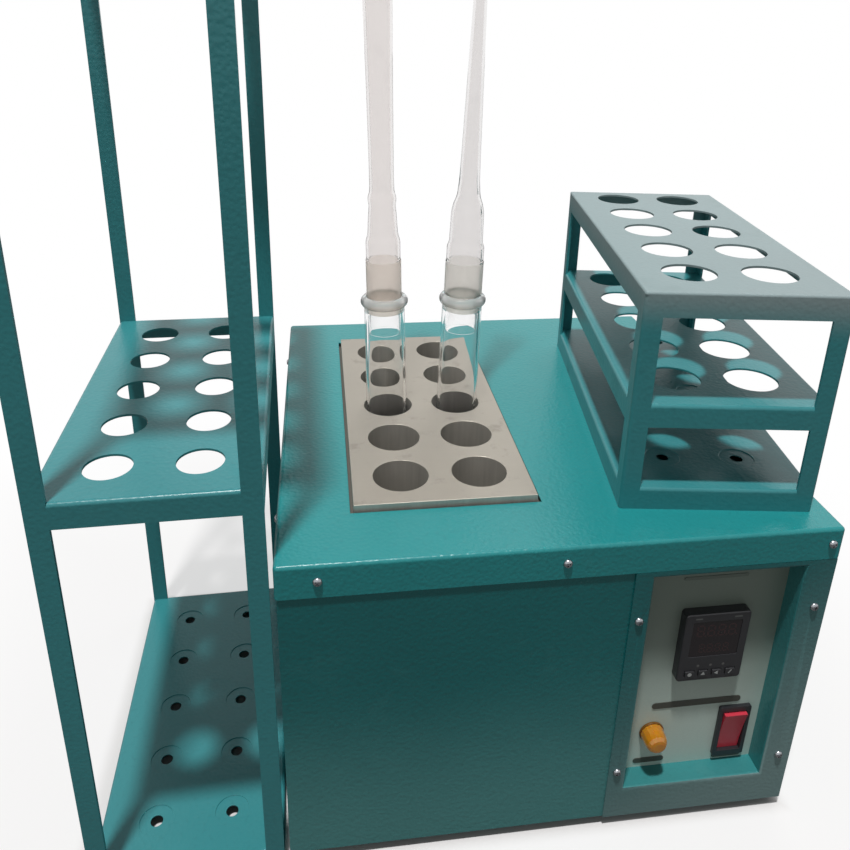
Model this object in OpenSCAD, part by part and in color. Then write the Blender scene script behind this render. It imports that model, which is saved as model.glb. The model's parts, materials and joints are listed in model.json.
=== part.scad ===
// Block digester: a heater unit with ten wells, two digestion vessels with air condensers,
// a small tube rack that stands on the unit and a tall condenser stand beside it.
// Millimetres. +X is to the right, +Y to the back and +Z up. The origin is on the table, under the
// centre of the whole set.
// The sub-parts are drawn about the unit's own centre, and in_set() moves them to the set's.

/* [Case] */
// Width of the case over its cover
case_w = 340; // [330:1:400]
// Depth of the case over its cover
case_d = 350; // [340:1:420]
// Height of the case from its underside to the top of its cover
case_h = 225; // [215:1:280]
// Thickness of the case's steel sheet
sheet_t = 1.2; // [0.8:0.1:1.6]
// Height of the cover's turned-down lip
lip_h = 22; // [16:1:30]
// Height of the upturned edge of the base tray
base_flange_h = 18; // [12:1:24]
// Width of the flanges that stiffen the shell's front edges
shell_flange_w = 12; // [8:1:16]
// Height of one cooling slot in the back
vent_h = 4.5; // [3:0.5:6]
// Width of one cooling slot in the back
vent_w = 70; // [40:1:80]
// Number of cooling slots in the back
vent_count = 7; // [3:1:8]

/* [Heating block] */
// Diameter of a well
well_d = 36; // [32:0.5:38]
// Depth of a well
well_depth = 90; // [70:1:95]
// Distance between the two rows of wells
well_pitch_x = 51.5; // [46:0.5:56]
// Distance between wells in one row
well_pitch_y = 48.7; // [44:0.5:50]
// Metal left outside the wells at the block's long sides
block_side = 13.75; // [8:0.25:16]
// Metal left outside the wells at the block's ends
block_end = 12.1; // [8:0.1:14]
// Height of the block
block_h = 110; // [105:1:115]
// How far the block stands out of the cover
block_proud = 4; // [2:0.5:8]
// Distance from the case's left side to the block
block_left = 46; // [40:1:60]
// Gap between the block and the cover's cut-out
block_gap = 2; // [1:0.5:4]
// Thickness of the insulation at the block's long sides
insulation_t = 22; // [15:1:24]
// Distance from the case's front and back to the inner shield, which the insulation fills
shield_inset = 24.5; // [22:0.5:28]
// Thickness of the insulation board under the heater
board_t = 30; // [20:1:34]
// Thickness of the plate heater
heater_t = 8; // [5:1:10]
// Thickness of the inner shield's sheet
shield_t = 1; // [0.8:0.1:1.5]

/* [Control panel] */
// Width of the screwed control frame
panel_w = 128.8; // [122:0.1:140]
// Frame left of the window
window_left = 12.3; // [10:0.1:16]
// Frame right of the window
window_right = 19.3; // [14:0.1:22]
// Height of the window's sill over the case's underside
window_sill = 25; // [20:1:30]
// Frame above the window
window_head = 4.7; // [3:0.1:10]
// Height of the frame's lower screws over the case's underside
panel_screw_low = 41.5; // [36:0.5:50]
// Height of the frame's upper screws over the case's underside
panel_screw_high = 167; // [150:1:180]
// Depth of the recess
recess_d = 15; // [12:0.5:20]
// Thickness of the grey fascia plate
fascia_t = 1.5; // [1:0.1:2.5]
// Width of the flange that the fascia is held to
recess_flange_w = 6; // [4:0.5:8]
// Thickness of a legend strip
strip_t = 0.4; // [0.2:0.1:0.8]

/* [Controller] */
// Width of the controller's face
ctrl_w = 44; // [40:1:48]
// Height of the controller's face
ctrl_h = 54; // [48:1:60]
// How far the controller's face stands out
ctrl_proud = 7; // [5:0.5:10]
// Depth of the controller's body behind the fascia
ctrl_body_d = 72; // [50:1:90]
// Distance from the window's left edge to the controller's centre
ctrl_x = 50.9; // [44:0.1:52]
// Height of the controller's centre over the sill
ctrl_z = 108; // [104:1:112]
// Width of the dark display window
display_w = 33; // [28:0.5:36]
// Height of the dark display window
display_h = 28; // [24:0.5:30]
// Width of a key
key_w = 6.2; // [5:0.1:7]
// Height of a key
key_h = 4.6; // [3.5:0.1:5.5]
// Distance between keys
key_pitch = 9.25; // [8.5:0.05:9.5]
// How far a key stands out of the face
key_proud = 0.9; // [0.7:0.1:1.5]
// How far a key is pressed
key_travel = 0.5; // [0.3:0.1:0.6]

/* [Lamp and switch] */
// Distance from the window's left edge to the lamp
lamp_x = 21.2; // [18:0.1:26]
// Height of the lamp over the sill
lamp_z = 32; // [28:1:36]
// Diameter of the lamp's lens
lens_d = 16; // [14:0.5:20]
// Length of the lamp's lens
lens_l = 12; // [8:0.5:14]
// Distance from the window's left edge to the switch
switch_x = 78.9; // [74:0.1:80]
// Height of the switch's centre over the sill
switch_z = 27.2; // [26:0.2:32]
// Width of the switch's frame
switch_w = 22.5; // [20:0.5:25]
// Height of the switch's frame
switch_h = 43.5; // [40:0.5:46]
// Border of the switch's frame at the sides
switch_side = 2.75; // [2:0.05:4]
// Border of the switch's frame above and below the rocker
switch_end = 4.25; // [3:0.05:6]
// How far the rocker tilts to either side
rocker_tilt = 8; // [5:0.5:10]

/* [Glassware] */
// Outer diameter of a digestion vessel
vessel_d = 30; // [28:0.5:31]
// Length of a digestion vessel
vessel_l = 178; // [160:1:200]
// Wall of the glass
glass_t = 1.8; // [1.2:0.1:2.2]
// Diameter of the bead round the vessel's mouth
bead_d = 34; // [33:0.5:38]
// Radius of the condenser's ground cone at the vessel's mouth
cone_r = 12.6; // [12:0.1:12.8]
// Length of the ground cone inside the vessel
cone_in = 28; // [20:1:35]
// Diameter of the left condenser's collar, which stands on the cone
collar_d_left = 25; // [24:0.1:26]
// Height of the left condenser's collar
collar_h_left = 41; // [30:1:50]
// Diameter of the right condenser's collar
collar_d_right = 27.4; // [26:0.1:28.4]
// Height of the right condenser's collar
collar_h_right = 36; // [30:1:50]
// Length of an air condenser
condenser_l = 470; // [380:5:600]
// How far the left vessel leans, in degrees
lean_left = -1.4; // [-1.8:0.1:0]
// How far the right vessel leans, in degrees
lean_right = 1.1; // [0:0.1:1.8]

/* [Tube rack] */
// Width of the rack
rack_w = 120; // [110:1:130]
// Depth of the rack
rack_d = 255; // [245:1:265]
// Height of the rack
rack_h = 142; // [120:1:170]
// Height of the middle plate's top
rack_mid_z = 72; // [60:1:80]
// Height of the lips of the rack's plates
rack_lip = 15; // [10:1:20]
// Width of the rack's corner angles
rack_post_w = 11.5; // [8:0.5:14]
// Diameter of the holes for the vessels
rack_hole_d = 33; // [32:0.5:35]
// Distance between the holes across the rack
rack_pitch_x = 48.8; // [44:0.1:52]
// Distance between the holes along the rack
rack_pitch_y = 48; // [42:0.1:50]
// Distance of the hole pattern's centre behind the rack's centre
rack_row_shift = 6; // [0:1:8]
// Distance from the case's right side to the rack's front left corner
rack_from_right = 131.4; // [128:0.1:140]
// Distance from the case's front to the rack's front left corner
rack_from_front = 33.6; // [25:0.1:50]
// How far the rack is turned on the unit, in degrees
rack_turn = -7.7; // [-9:0.1:0]

/* [Condenser stand] */
// Width of the stand
stand_w = 118.5; // [110:0.5:130]
// Depth of the stand
stand_d = 250; // [240:1:262]
// Height of the stand
stand_h = 620; // [560:5:700]
// Height of the middle shelf's top
stand_mid_z = 282; // [240:1:320]
// Height of the bottom tray's top
stand_tray_z = 10; // [6:1:20]
// Height of the lips of the stand's shelves
stand_lip = 15.5; // [12:0.5:24]
// Width of the stand's upright bars
stand_bar_w = 11.5; // [8:0.5:18]
// Thickness of the stand's upright bars
stand_bar_t = 2.5; // [2:0.5:4]
// Diameter of the holes for the condensers
stand_hole_d = 26.4; // [24:0.2:32]
// Distance between the holes across the stand
stand_pitch_x = 48.8; // [44:0.1:52]
// Distance between the holes along the stand
stand_pitch_y = 46.4; // [42:0.1:50]
// How far the stand's front left corner stands before the case
stand_forward = 0.6; // [0:0.1:2]
// Gap between the case and the stand's front right corner
stand_gap = 2.5; // [1:0.1:20]
// How far the stand is turned, in degrees
stand_turn = 1.5; // [0:0.1:3]

/* [Sheet of the racks] */
// Thickness of the racks' sheet
rack_sheet = 1.5; // [1:0.1:2]
// Thickness of the tube rack's corner angles
angle_t = 2; // [1.5:0.1:3]
// Diameter of the small drain holes
drain_d = 8; // [5:0.5:10]
// Diameter of the seat pressed round a drain hole
seat_d = 22; // [16:0.5:26]
// Depth of that seat
seat_depth = 0.6; // [0.3:0.1:0.8]

/* [Feet, screws and supply] */
// Height of the rubber feet
foot_h = 8; // [5:1:15]
// Diameter of a foot at the case
foot_d = 26; // [20:1:32]
// Distance of the feet from the sides
foot_inset = 35; // [26:1:45]
// Diameter of the screws' pan heads
screw_head_d = 5.6; // [5:0.2:8]
// Diameter of the screws' shanks
screw_d = 3.2; // [2.5:0.1:4]
// Length of the screws' shanks
screw_l = 8; // [6:0.5:12]
// Width of the supply inlet's flange
inlet_w = 50; // [46:1:56]
// Height of the supply inlet's flange
inlet_h = 26; // [24:1:30]
// Distance of the inlet from the case's right side
inlet_from_right = 60; // [50:1:70]
// Height of the inlet over the case's underside
inlet_z = 45; // [35:1:60]

/* [Hidden] */
$fn = 48;
eps = 0.01;

TEAL = [0.05, 0.42, 0.42];
DARK_TEAL = [0.03, 0.28, 0.29];
STEEL = [0.75, 0.75, 0.77];
ALUMINIUM = [0.68, 0.66, 0.64];
BLACK = [0.06, 0.06, 0.07];
GLASS = [0.85, 0.92, 0.93, 0.35];

// Levels and planes of the case
case_bottom = foot_h;
case_top = foot_h + case_h;
x_side = case_w / 2;
y_front = -case_d / 2;
shell_x = x_side - sheet_t;
shell_y = case_d / 2 - sheet_t;
cover_under = case_top - sheet_t;
lip_bottom = case_top - lip_h;
floor_top = case_bottom + sheet_t;
panel_clear = 0.3;

// Heating block and what lies round it
well_rows = 5;
block_w = well_pitch_x + well_d + 2 * block_side;
block_d = (well_rows - 1) * well_pitch_y + well_d + 2 * block_end;
block_cx = -x_side + block_left + block_w / 2;
block_top = case_top + block_proud;
block_bottom = block_top - block_h;
well_bottom = block_top - well_depth;
heater_bottom = block_bottom - heater_t;
board_bottom = heater_bottom - board_t;
jacket_top = cover_under - 3;
shield_bottom = board_bottom - shield_t;
shield_w = block_w + 2 * (insulation_t + shield_t);
shield_d = case_d - 2 * shield_inset;
pillar_d = 12;
pillar_inset = 34;
probe_d = 5;
probe_gap = 0.2;
probe_in = 40;
probe_out = 18;
probe_y = well_pitch_y / 2;
probe_z = block_bottom + 20;
heater_margin = 4;

// Control panel
panel_x1 = shell_x;
panel_x0 = panel_x1 - panel_w;
panel_z0 = case_bottom;
panel_z1 = lip_bottom - panel_clear;
window_x0 = panel_x0 + window_left;
window_x1 = panel_x1 - window_right;
window_z0 = case_bottom + window_sill;
window_z1 = panel_z1 - window_head;
fascia_y = y_front + recess_d;
front_inner_y = y_front + 2 * sheet_t;

// Controller
ctrl_cx = window_x0 + ctrl_x;
ctrl_cz = window_z0 + ctrl_z;
ctrl_corner = 2.5;
ctrl_border = 2.5;
ctrl_clear = 0.4;
ctrl_body_w = ctrl_w - 6;
ctrl_body_h = ctrl_h - 6;
display_t = 1.2;
display_z = ctrl_h / 2 - ctrl_border - 3.5 - display_h / 2;
display_corner = 1;
key_z = -ctrl_h / 2 + 6.4;
key_clear = 0.25;
key_deep = 2.4;
light_d = 1.8;
light_z = key_z + 6.1;
light_pitch = 8.6;

// Lamp
lamp_cx = window_x0 + lamp_x;
lamp_cz = window_z0 + lamp_z;
lamp_flange_t = 1.5;
lamp_flange_rim = 1;
lamp_barrel_d = 12;
lamp_barrel_l = 26;
lamp_nut_d = 18;
lamp_nut_t = 4;
lens_round = 3;

// Switch
switch_cx = window_x0 + switch_x;
switch_cz = window_z0 + switch_z;
switch_frame_t = 2.5;
switch_wall = 1.5;
switch_body_d = 24;
rocker_clear = 0.5;
rocker_w = switch_w - 2 * switch_side - 2 * rocker_clear;
rocker_h = switch_h - 2 * switch_end - 2 * rocker_clear;
rocker_end_out = 3.4;
rocker_mid_out = 2.4;
rocker_back = 6;
rocker_pin_d = 2;
rocker_pin_clear = 0.05;
rocker_pin_out = 1.2;
rocker_pivot_in = 1;

// Legend strips: centre from the window's corner, width and height
strips = [
  [lamp_x + 1, lamp_z - 26, 22, 4.5],
  [50.4, ctrl_z - ctrl_h / 2 - 26.6, 63, 5.2],
  [switch_x + 0.4, switch_z - switch_h / 2 - 2.4, 21, 3.4],
  [48.5, ctrl_z + ctrl_h / 2 + 23, 43, 2.4]
];

// Screws of the cover: along the front and back, and along the sides
cover_screw_x = [-x_side + 24, -3, x_side - 7];
cover_screw_in = 60;
cover_screw_y = [y_front + cover_screw_in, -y_front - cover_screw_in];
cover_screw_z = case_top - lip_h / 2;
panel_screw_x = [panel_x0 + 5.6, panel_x1 - 8.4];
panel_screw_z = [case_bottom + panel_screw_low, case_bottom + panel_screw_high];
screw_head_h = 2.2;
screw_clear = 0.2;
slot_w = 0.9;
slot_deep = 0.7;

// Supply side
wiring_side = 70;
inlet_cx = x_side - inlet_from_right;
inlet_cz = case_bottom + inlet_z;
inlet_body_w = 28;
inlet_body_h = 20;
inlet_body_d = 26;
inlet_socket_w = 24;
inlet_socket_h = 16;
inlet_socket_d = 16;
inlet_flange_t = 3;
inlet_screw_pitch = inlet_w - 10;
pin_w = 4;
pin_t = 2;
pin_pitch = 7;
pin_l = 22;
sink_w = 60;
sink_d = 80;
sink_h = 28;
sink_base = 6;
sink_fins = 9;
sink_fin_t = 2;
relay_w = 45;
relay_d = 58;
relay_h = 23;
sink_x = x_side - wiring_side;
sink_y = 40;
terminal_w = 56;
terminal_d = 20;
terminal_h = 18;
terminal_ways = 6;
terminal_y = -40;
terminal_x = x_side - wiring_side;
loom_d = 7;

// Vessels stand in the third row from the front
vessel_row = 2;
vessel_wall_gap = 0.3;
vessel_pivot_z = (block_top + well_bottom) / 2;
bead_h = 8;
cone_taper = 0.05;
joint_gap = 0.1;
collar_rise = 1.5;
arc_steps = 8;

// Corners of the rack and the stand
rack_x = x_side - rack_from_right;
rack_y = y_front + rack_from_front;
rack_cy = rack_d / 2 + rack_row_shift;
stand_x = -x_side - stand_gap - stand_w * cos(stand_turn);
stand_y = y_front - stand_forward;
stand_cy = stand_d / 2;

// Extent of the whole set about the unit's centre
set_x0 = stand_x - stand_d * sin(stand_turn);
set_x1 = max(x_side + screw_head_h, rack_x + rack_w * cos(rack_turn) - rack_d * sin(rack_turn));
set_y0 = min(y_front - screw_head_h, stand_y);
set_y1 = max(-y_front + screw_head_h, shell_y + inlet_flange_t + screw_head_h);

// ---- helpers -------------------------------------------------------------------------------

// Moves a child from the unit's centre to the set's
module in_set() translate([-(set_x0 + set_x1) / 2, -(set_y0 + set_y1) / 2, 0]) children();

// Puts a child on a face of the case, its own +Z pointing outwards and its own +Y up
module on_front(x, z, y = y_front) translate([x, y, z]) rotate([90, 0, 0]) children();
module on_back(x, z, y) translate([x, y, z]) rotate([90, 0, 180]) children();
module on_left(y, z, x) translate([x, y, z]) rotate([90, 0, -90]) children();
module on_right(y, z, x) translate([x, y, z]) rotate([90, 0, 90]) children();
module on_fascia(x, z) on_front(x, z, fascia_y) children();

module box(x0, x1, y0, y1, z0, z1) translate([x0, y0, z0]) cube([x1 - x0, y1 - y0, z1 - z0]);

module round_rect(w, h, r) {
  square([w - 2 * r, h], center = true);
  square([w, h - 2 * r], center = true);
  for (sx = [-1, 1], sy = [-1, 1]) translate([sx * (w / 2 - r), sy * (h / 2 - r)]) circle(r);
}

module round_block(w, h, t, r) linear_extrude(t) round_rect(w, h, r);

module pan_screw(length = screw_l) {
  difference() {
    union() {
      cylinder(d1 = screw_head_d, d2 = screw_head_d - 1.4, h = screw_head_h);
      translate([0, 0, -length]) cylinder(d = screw_d, h = length);
    }
    for (a = [0, 90]) rotate(a) translate([-screw_head_d / 4, -slot_w / 2, screw_head_h - slot_deep])
      cube([screw_head_d / 2, slot_w, screw_head_h]);
  }
}

module screw_hole() translate([0, 0, -screw_l]) cylinder(d = screw_d + 2 * screw_clear, h = 2 * screw_l);

// Places a child at each screw of the cover, on the cover's outer faces
module at_cover_screws() {
  for (x = cover_screw_x) {
    on_front(x, cover_screw_z) children();
    on_back(x, cover_screw_z, -y_front) children();
  }
  for (y = cover_screw_y) {
    on_left(y, cover_screw_z, -x_side) children();
    on_right(y, cover_screw_z, x_side) children();
  }
}

module at_panel_screws() for (x = panel_screw_x, z = panel_screw_z) on_front(x, z) children();

module at_wells() {
  for (i = [-0.5, 0.5], j = [0 : well_rows - 1])
    translate([block_cx + i * well_pitch_x, (j - (well_rows - 1) / 2) * well_pitch_y, 0]) children();
}

module at_feet() {
  for (sx = [-1, 1], sy = [-1, 1])
    translate([sx * (x_side - foot_inset), sy * (-y_front - foot_inset), 0]) children();
}

// ---- case ----------------------------------------------------------------------------------

module base_tray() in_set() color(DARK_TEAL) difference() {
  box(-shell_x + sheet_t, shell_x - sheet_t, front_inner_y + sheet_t, shell_y - sheet_t,
    case_bottom, case_bottom + base_flange_h);
  box(-shell_x + 2 * sheet_t, shell_x - 2 * sheet_t, front_inner_y + 2 * sheet_t, shell_y - 2 * sheet_t,
    floor_top, case_bottom + base_flange_h + 1);
  at_feet() translate([0, 0, case_bottom - 1]) cylinder(d = screw_d + 2 * screw_clear, h = sheet_t + 2);
}

module body_shell() in_set() color(TEAL) difference() {
  box(-shell_x, shell_x, front_inner_y, shell_y, case_bottom, cover_under);
  box(-shell_x + sheet_t, shell_x - sheet_t, front_inner_y + sheet_t, shell_y - sheet_t,
    case_bottom - 1, cover_under + 1);
  box(-shell_x + shell_flange_w, shell_x - shell_flange_w, front_inner_y - 1, front_inner_y + sheet_t + 1,
    case_bottom - 1, cover_under + 1);
  at_cover_screws() screw_hole();
  at_panel_screws() screw_hole();
  on_back(inlet_cx, inlet_cz, shell_y) {
    translate([0, 0, -sheet_t - 1]) linear_extrude(sheet_t + 2)
      square([inlet_body_w, inlet_body_h], center = true);
    for (s = [-1, 1]) translate([s * inlet_screw_pitch / 2, 0, 0]) screw_hole();
  }
  for (i = [0 : vent_count - 1], s = [-1, 1])
    on_back(s * (shell_x / 2 - 5), case_bottom + 95 + i * 2.4 * vent_h, shell_y)
      translate([0, 0, -sheet_t - 1]) round_block(vent_w, vent_h, sheet_t + 2, vent_h / 2 - eps);
}

module front_panel() in_set() color(DARK_TEAL) difference() {
  box(-shell_x, shell_x, y_front + sheet_t, front_inner_y, case_bottom, cover_under);
  box(window_x0 - sheet_t, window_x1 + sheet_t, y_front, front_inner_y + 1, window_z0 - sheet_t,
    window_z1 + sheet_t);
  at_cover_screws() screw_hole();
  at_panel_screws() screw_hole();
}

// A screwed frame with a recess: plate, four walls and the flange that the fascia is held to
module control_frame() in_set() color(TEAL) difference() {
  union() {
    box(panel_x0, panel_x1, y_front, y_front + sheet_t, panel_z0, panel_z1);
    box(window_x0 - sheet_t, window_x1 + sheet_t, y_front, fascia_y, window_z0 - sheet_t,
      window_z1 + sheet_t);
    box(window_x0 - recess_flange_w, window_x1 + recess_flange_w, fascia_y - sheet_t, fascia_y,
      window_z0 - recess_flange_w, window_z1 + recess_flange_w);
  }
  box(window_x0, window_x1, y_front - 1, fascia_y + 1, window_z0, window_z1);
  at_panel_screws() screw_hole();
}

module fascia_plate() in_set() color([0.62, 0.68, 0.66]) difference() {
  box(window_x0 - recess_flange_w, window_x1 + recess_flange_w, fascia_y, fascia_y + fascia_t,
    window_z0 - recess_flange_w, window_z1 + recess_flange_w);
  on_fascia(ctrl_cx, ctrl_cz) translate([0, 0, -fascia_t - 1])
    linear_extrude(fascia_t + 2) square([ctrl_body_w + ctrl_clear, ctrl_body_h + ctrl_clear],
      center = true);
  on_fascia(lamp_cx, lamp_cz) translate([0, 0, -fascia_t - 1])
    cylinder(d = lamp_barrel_d + ctrl_clear, h = fascia_t + 2);
  on_fascia(switch_cx, switch_cz) translate([0, 0, -fascia_t - 1])
    linear_extrude(fascia_t + 2) square([rocker_frame_w() + ctrl_clear, rocker_frame_h() + ctrl_clear],
      center = true);
}

module top_cover() in_set() color(TEAL) difference() {
  box(-x_side, x_side, y_front, -y_front, lip_bottom, case_top);
  box(-shell_x, shell_x, -shell_y, shell_y, lip_bottom - 1, cover_under);
  translate([block_cx, 0, case_top])
    cube([block_w + 2 * block_gap, block_d + 2 * block_gap, 4 * sheet_t], center = true);
  at_cover_screws() screw_hole();
}

// ---- heating -------------------------------------------------------------------------------

module heating_block() in_set() color(ALUMINIUM) difference() {
  translate([block_cx - block_w / 2, -block_d / 2, block_bottom]) cube([block_w, block_d, block_h]);
  at_wells() translate([0, 0, well_bottom]) cylinder(d = well_d, h = well_depth + 1, $fn = 64);
  probe_bore(probe_d + 2 * probe_gap, probe_in + probe_gap);
}

// A bore along X that starts in the block and leaves it to the right
module probe_bore(d, depth) {
  translate([block_cx + block_w / 2 - depth, probe_y, probe_z]) rotate([0, 90, 0])
    cylinder(d = d, h = depth + insulation_t + shield_t + probe_out);
}

module plate_heater() in_set() color([0.55, 0.5, 0.42]) {
  translate([block_cx - block_w / 2 + heater_margin, -block_d / 2 + heater_margin, heater_bottom])
    cube([block_w - 2 * heater_margin, block_d - 2 * heater_margin, heater_t]);
}

module insulation_jacket() in_set() color([0.92, 0.9, 0.82]) difference() {
  translate([block_cx - shield_w / 2 + shield_t, -shield_d / 2 + shield_t, board_bottom])
    cube([shield_w - 2 * shield_t, shield_d - 2 * shield_t, jacket_top - board_bottom]);
  translate([block_cx - block_w / 2, -block_d / 2, heater_bottom])
    cube([block_w, block_d, block_h + heater_t]);
  probe_bore(probe_d + 1, probe_in);
}

module inner_shield() in_set() color(STEEL) difference() {
  translate([block_cx - shield_w / 2, -shield_d / 2, shield_bottom])
    cube([shield_w, shield_d, jacket_top - shield_bottom]);
  translate([block_cx - shield_w / 2 + shield_t, -shield_d / 2 + shield_t, board_bottom])
    cube([shield_w - 2 * shield_t, shield_d - 2 * shield_t, jacket_top - board_bottom + 1]);
  probe_bore(probe_d + 1, probe_in);
}

module shield_pillars() in_set() color(STEEL) {
  for (sx = [-1, 1], sy = [-1, 1])
    translate([block_cx + sx * (shield_w / 2 - pillar_inset), sy * (shield_d / 2 - pillar_inset),
      floor_top])
      cylinder(d = pillar_d, h = shield_bottom - floor_top);
}

module temperature_probe() in_set() color(STEEL) {
  translate([block_cx + block_w / 2 - probe_in, probe_y, probe_z]) rotate([0, 90, 0]) {
    cylinder(d = probe_d, h = probe_in + insulation_t + shield_t + probe_out);
    translate([0, 0, probe_in + insulation_t + shield_t]) cylinder(d = 2 * probe_d, h = probe_d);
  }
}

// ---- control panel -------------------------------------------------------------------------

module controller_housing() in_set() color(BLACK) on_fascia(ctrl_cx, ctrl_cz) difference() {
  union() {
    round_block(ctrl_w, ctrl_h, ctrl_proud, ctrl_corner);
    translate([-ctrl_body_w / 2, -ctrl_body_h / 2, -ctrl_body_d])
      cube([ctrl_body_w, ctrl_body_h, ctrl_body_d + 1]);
  }
  translate([0, display_z, ctrl_proud - display_t])
    round_block(display_w, display_h, display_t + 1, display_corner);
  at_keys() translate([0, 0, ctrl_proud - key_deep])
    linear_extrude(key_deep + 1) square([key_w + 2 * key_clear, key_h + 2 * key_clear], center = true);
  at_lights() translate([0, 0, ctrl_proud - 1]) cylinder(d = light_d, h = 2, $fn = 24);
}

module at_keys() for (i = [0 : 3]) at_key(i) children();
module at_key(i) translate([(i - 1.5) * key_pitch, key_z, 0]) children();
module at_lights() for (i = [-1 : 1]) translate([i * light_pitch, light_z, 0]) children();

module display_window() in_set() color([0.02, 0.02, 0.03]) on_fascia(ctrl_cx, ctrl_cz)
  translate([0, display_z, ctrl_proud - display_t])
    round_block(display_w, display_h, display_t, display_corner);

module indicator_lights() in_set() color([0.8, 0.8, 0.78]) on_fascia(ctrl_cx, ctrl_cz)
  at_lights() translate([0, 0, ctrl_proud - 1]) cylinder(d = light_d, h = 1, $fn = 24);

module controller_key(i) color([0.3, 0.3, 0.32]) on_fascia(ctrl_cx, ctrl_cz)
  at_key(i) translate([0, 0, ctrl_proud - key_deep + key_travel + key_clear])
    round_block(key_w, key_h, key_deep - key_travel - key_clear + key_proud, 0.8);

module controller_key_1() in_set() controller_key(0);
module controller_key_2() in_set() controller_key(1);
module controller_key_3() in_set() controller_key(2);
module controller_key_4() in_set() controller_key(3);

module lamp_lens() in_set() color([0.95, 0.55, 0.05]) on_fascia(lamp_cx, lamp_cz)
  translate([0, 0, lamp_flange_t])
  rotate_extrude() polygon(concat(
    [[0, 0], [lens_d / 2, 0]],
    [for (k = [0 : arc_steps]) let (a = 90 * k / arc_steps)
      [lens_d / 2 - lens_round * (1 - cos(a)), lens_l - lens_round * (1 - sin(a))]],
    [[0, lens_l]]));

module lamp_body() in_set() color(BLACK) on_fascia(lamp_cx, lamp_cz) {
  cylinder(d = lens_d + lamp_flange_rim, h = lamp_flange_t);
  translate([0, 0, -lamp_barrel_l]) cylinder(d = lamp_barrel_d, h = lamp_barrel_l);
  translate([0, 0, -fascia_t - lamp_nut_t]) cylinder(d = lamp_nut_d, h = lamp_nut_t, $fn = 6);
}

function rocker_frame_w() = rocker_w + 2 * rocker_clear + 2 * switch_wall;
function rocker_frame_h() = rocker_h + 2 * rocker_clear + 2 * switch_wall;

module switch_housing() in_set() color(BLACK) on_fascia(switch_cx, switch_cz) difference() {
  union() {
    round_block(switch_w, switch_h, switch_frame_t, 1.5);
    translate([-rocker_frame_w() / 2, -rocker_frame_h() / 2, -switch_body_d])
      cube([rocker_frame_w(), rocker_frame_h(), switch_body_d + 1]);
    for (s = [-1, 0, 1]) translate([-3, s * 10 - 0.4, -switch_body_d - 8]) cube([6, 0.8, 9]);
  }
  translate([0, 0, -rocker_back - 2 * rocker_clear - 1])
    linear_extrude(rocker_back + 2 * rocker_clear + switch_frame_t + 2)
      square([rocker_w + 2 * rocker_clear, rocker_h + 2 * rocker_clear], center = true);
  rotate([0, 90, 0]) translate([rocker_pivot_in, 0, -rocker_w / 2 - rocker_clear - rocker_pin_out])
    cylinder(d = rocker_pin_d + 2 * rocker_pin_clear,
      h = rocker_w + 2 * rocker_clear + 2 * rocker_pin_out, $fn = 24);
}

// The rocker rests with its lower end pressed in
module switch_rocker() in_set() color([0.75, 0.1, 0.12]) on_fascia(switch_cx, switch_cz)
  translate([0, 0, -rocker_pivot_in]) rotate([rocker_tilt, 0, 0]) {
    rotate([90, 0, 90]) translate([0, 0, -rocker_w / 2]) linear_extrude(rocker_w) polygon([
      [-rocker_h / 2, rocker_end_out], [0, rocker_mid_out], [rocker_h / 2, rocker_end_out],
      [rocker_h / 2, 0], [rocker_h / 3, -rocker_back + 2], [0, -rocker_back + 1],
      [-rocker_h / 3, -rocker_back + 2], [-rocker_h / 2, 0]]);
    rotate([0, 90, 0]) translate([0, 0, -rocker_w / 2 - rocker_clear - rocker_pin_out + 0.2])
      cylinder(d = rocker_pin_d, h = rocker_w + 2 * (rocker_clear + rocker_pin_out - 0.2), $fn = 24);
  }

module legend_strips() in_set() color([0.12, 0.13, 0.13]) {
  for (s = strips) on_fascia(window_x0 + s[0], window_z0 + s[1]) linear_extrude(strip_t)
    square([s[2], s[3]], center = true);
}

// ---- supply side ---------------------------------------------------------------------------

module relay_heat_sink() in_set() color(ALUMINIUM) translate([sink_x, sink_y, floor_top]) {
  for (i = [0 : sink_fins - 1])
    translate([-sink_w / 2 + i * (sink_w - sink_fin_t) / (sink_fins - 1), -sink_d / 2, 0])
      cube([sink_fin_t, sink_d, sink_h - sink_base + eps]);
  translate([-sink_w / 2, -sink_d / 2, sink_h - sink_base]) cube([sink_w, sink_d, sink_base]);
}

module solid_state_relay() in_set() color([0.15, 0.15, 0.16])
  translate([sink_x, sink_y, floor_top + sink_h])
  difference() {
    translate([-relay_w / 2, -relay_d / 2, 0]) cube([relay_w, relay_d, relay_h]);
    for (s = [-1, 1]) translate([0, s * relay_d / 2, relay_h / 2 + 4])
      cube([relay_w + 2, 14, relay_h], center = true);
  }

module terminal_block() in_set() color([0.9, 0.9, 0.88]) translate([terminal_x, terminal_y, floor_top])
  difference() {
  translate([-terminal_w / 2, -terminal_d / 2, 0]) cube([terminal_w, terminal_d, terminal_h]);
  for (i = [0 : terminal_ways - 1])
    translate([-terminal_w / 2 + (i + 0.5) * terminal_w / terminal_ways, 0, terminal_h - 6])
      cylinder(d = 5, h = 7, $fn = 24);
}

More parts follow.
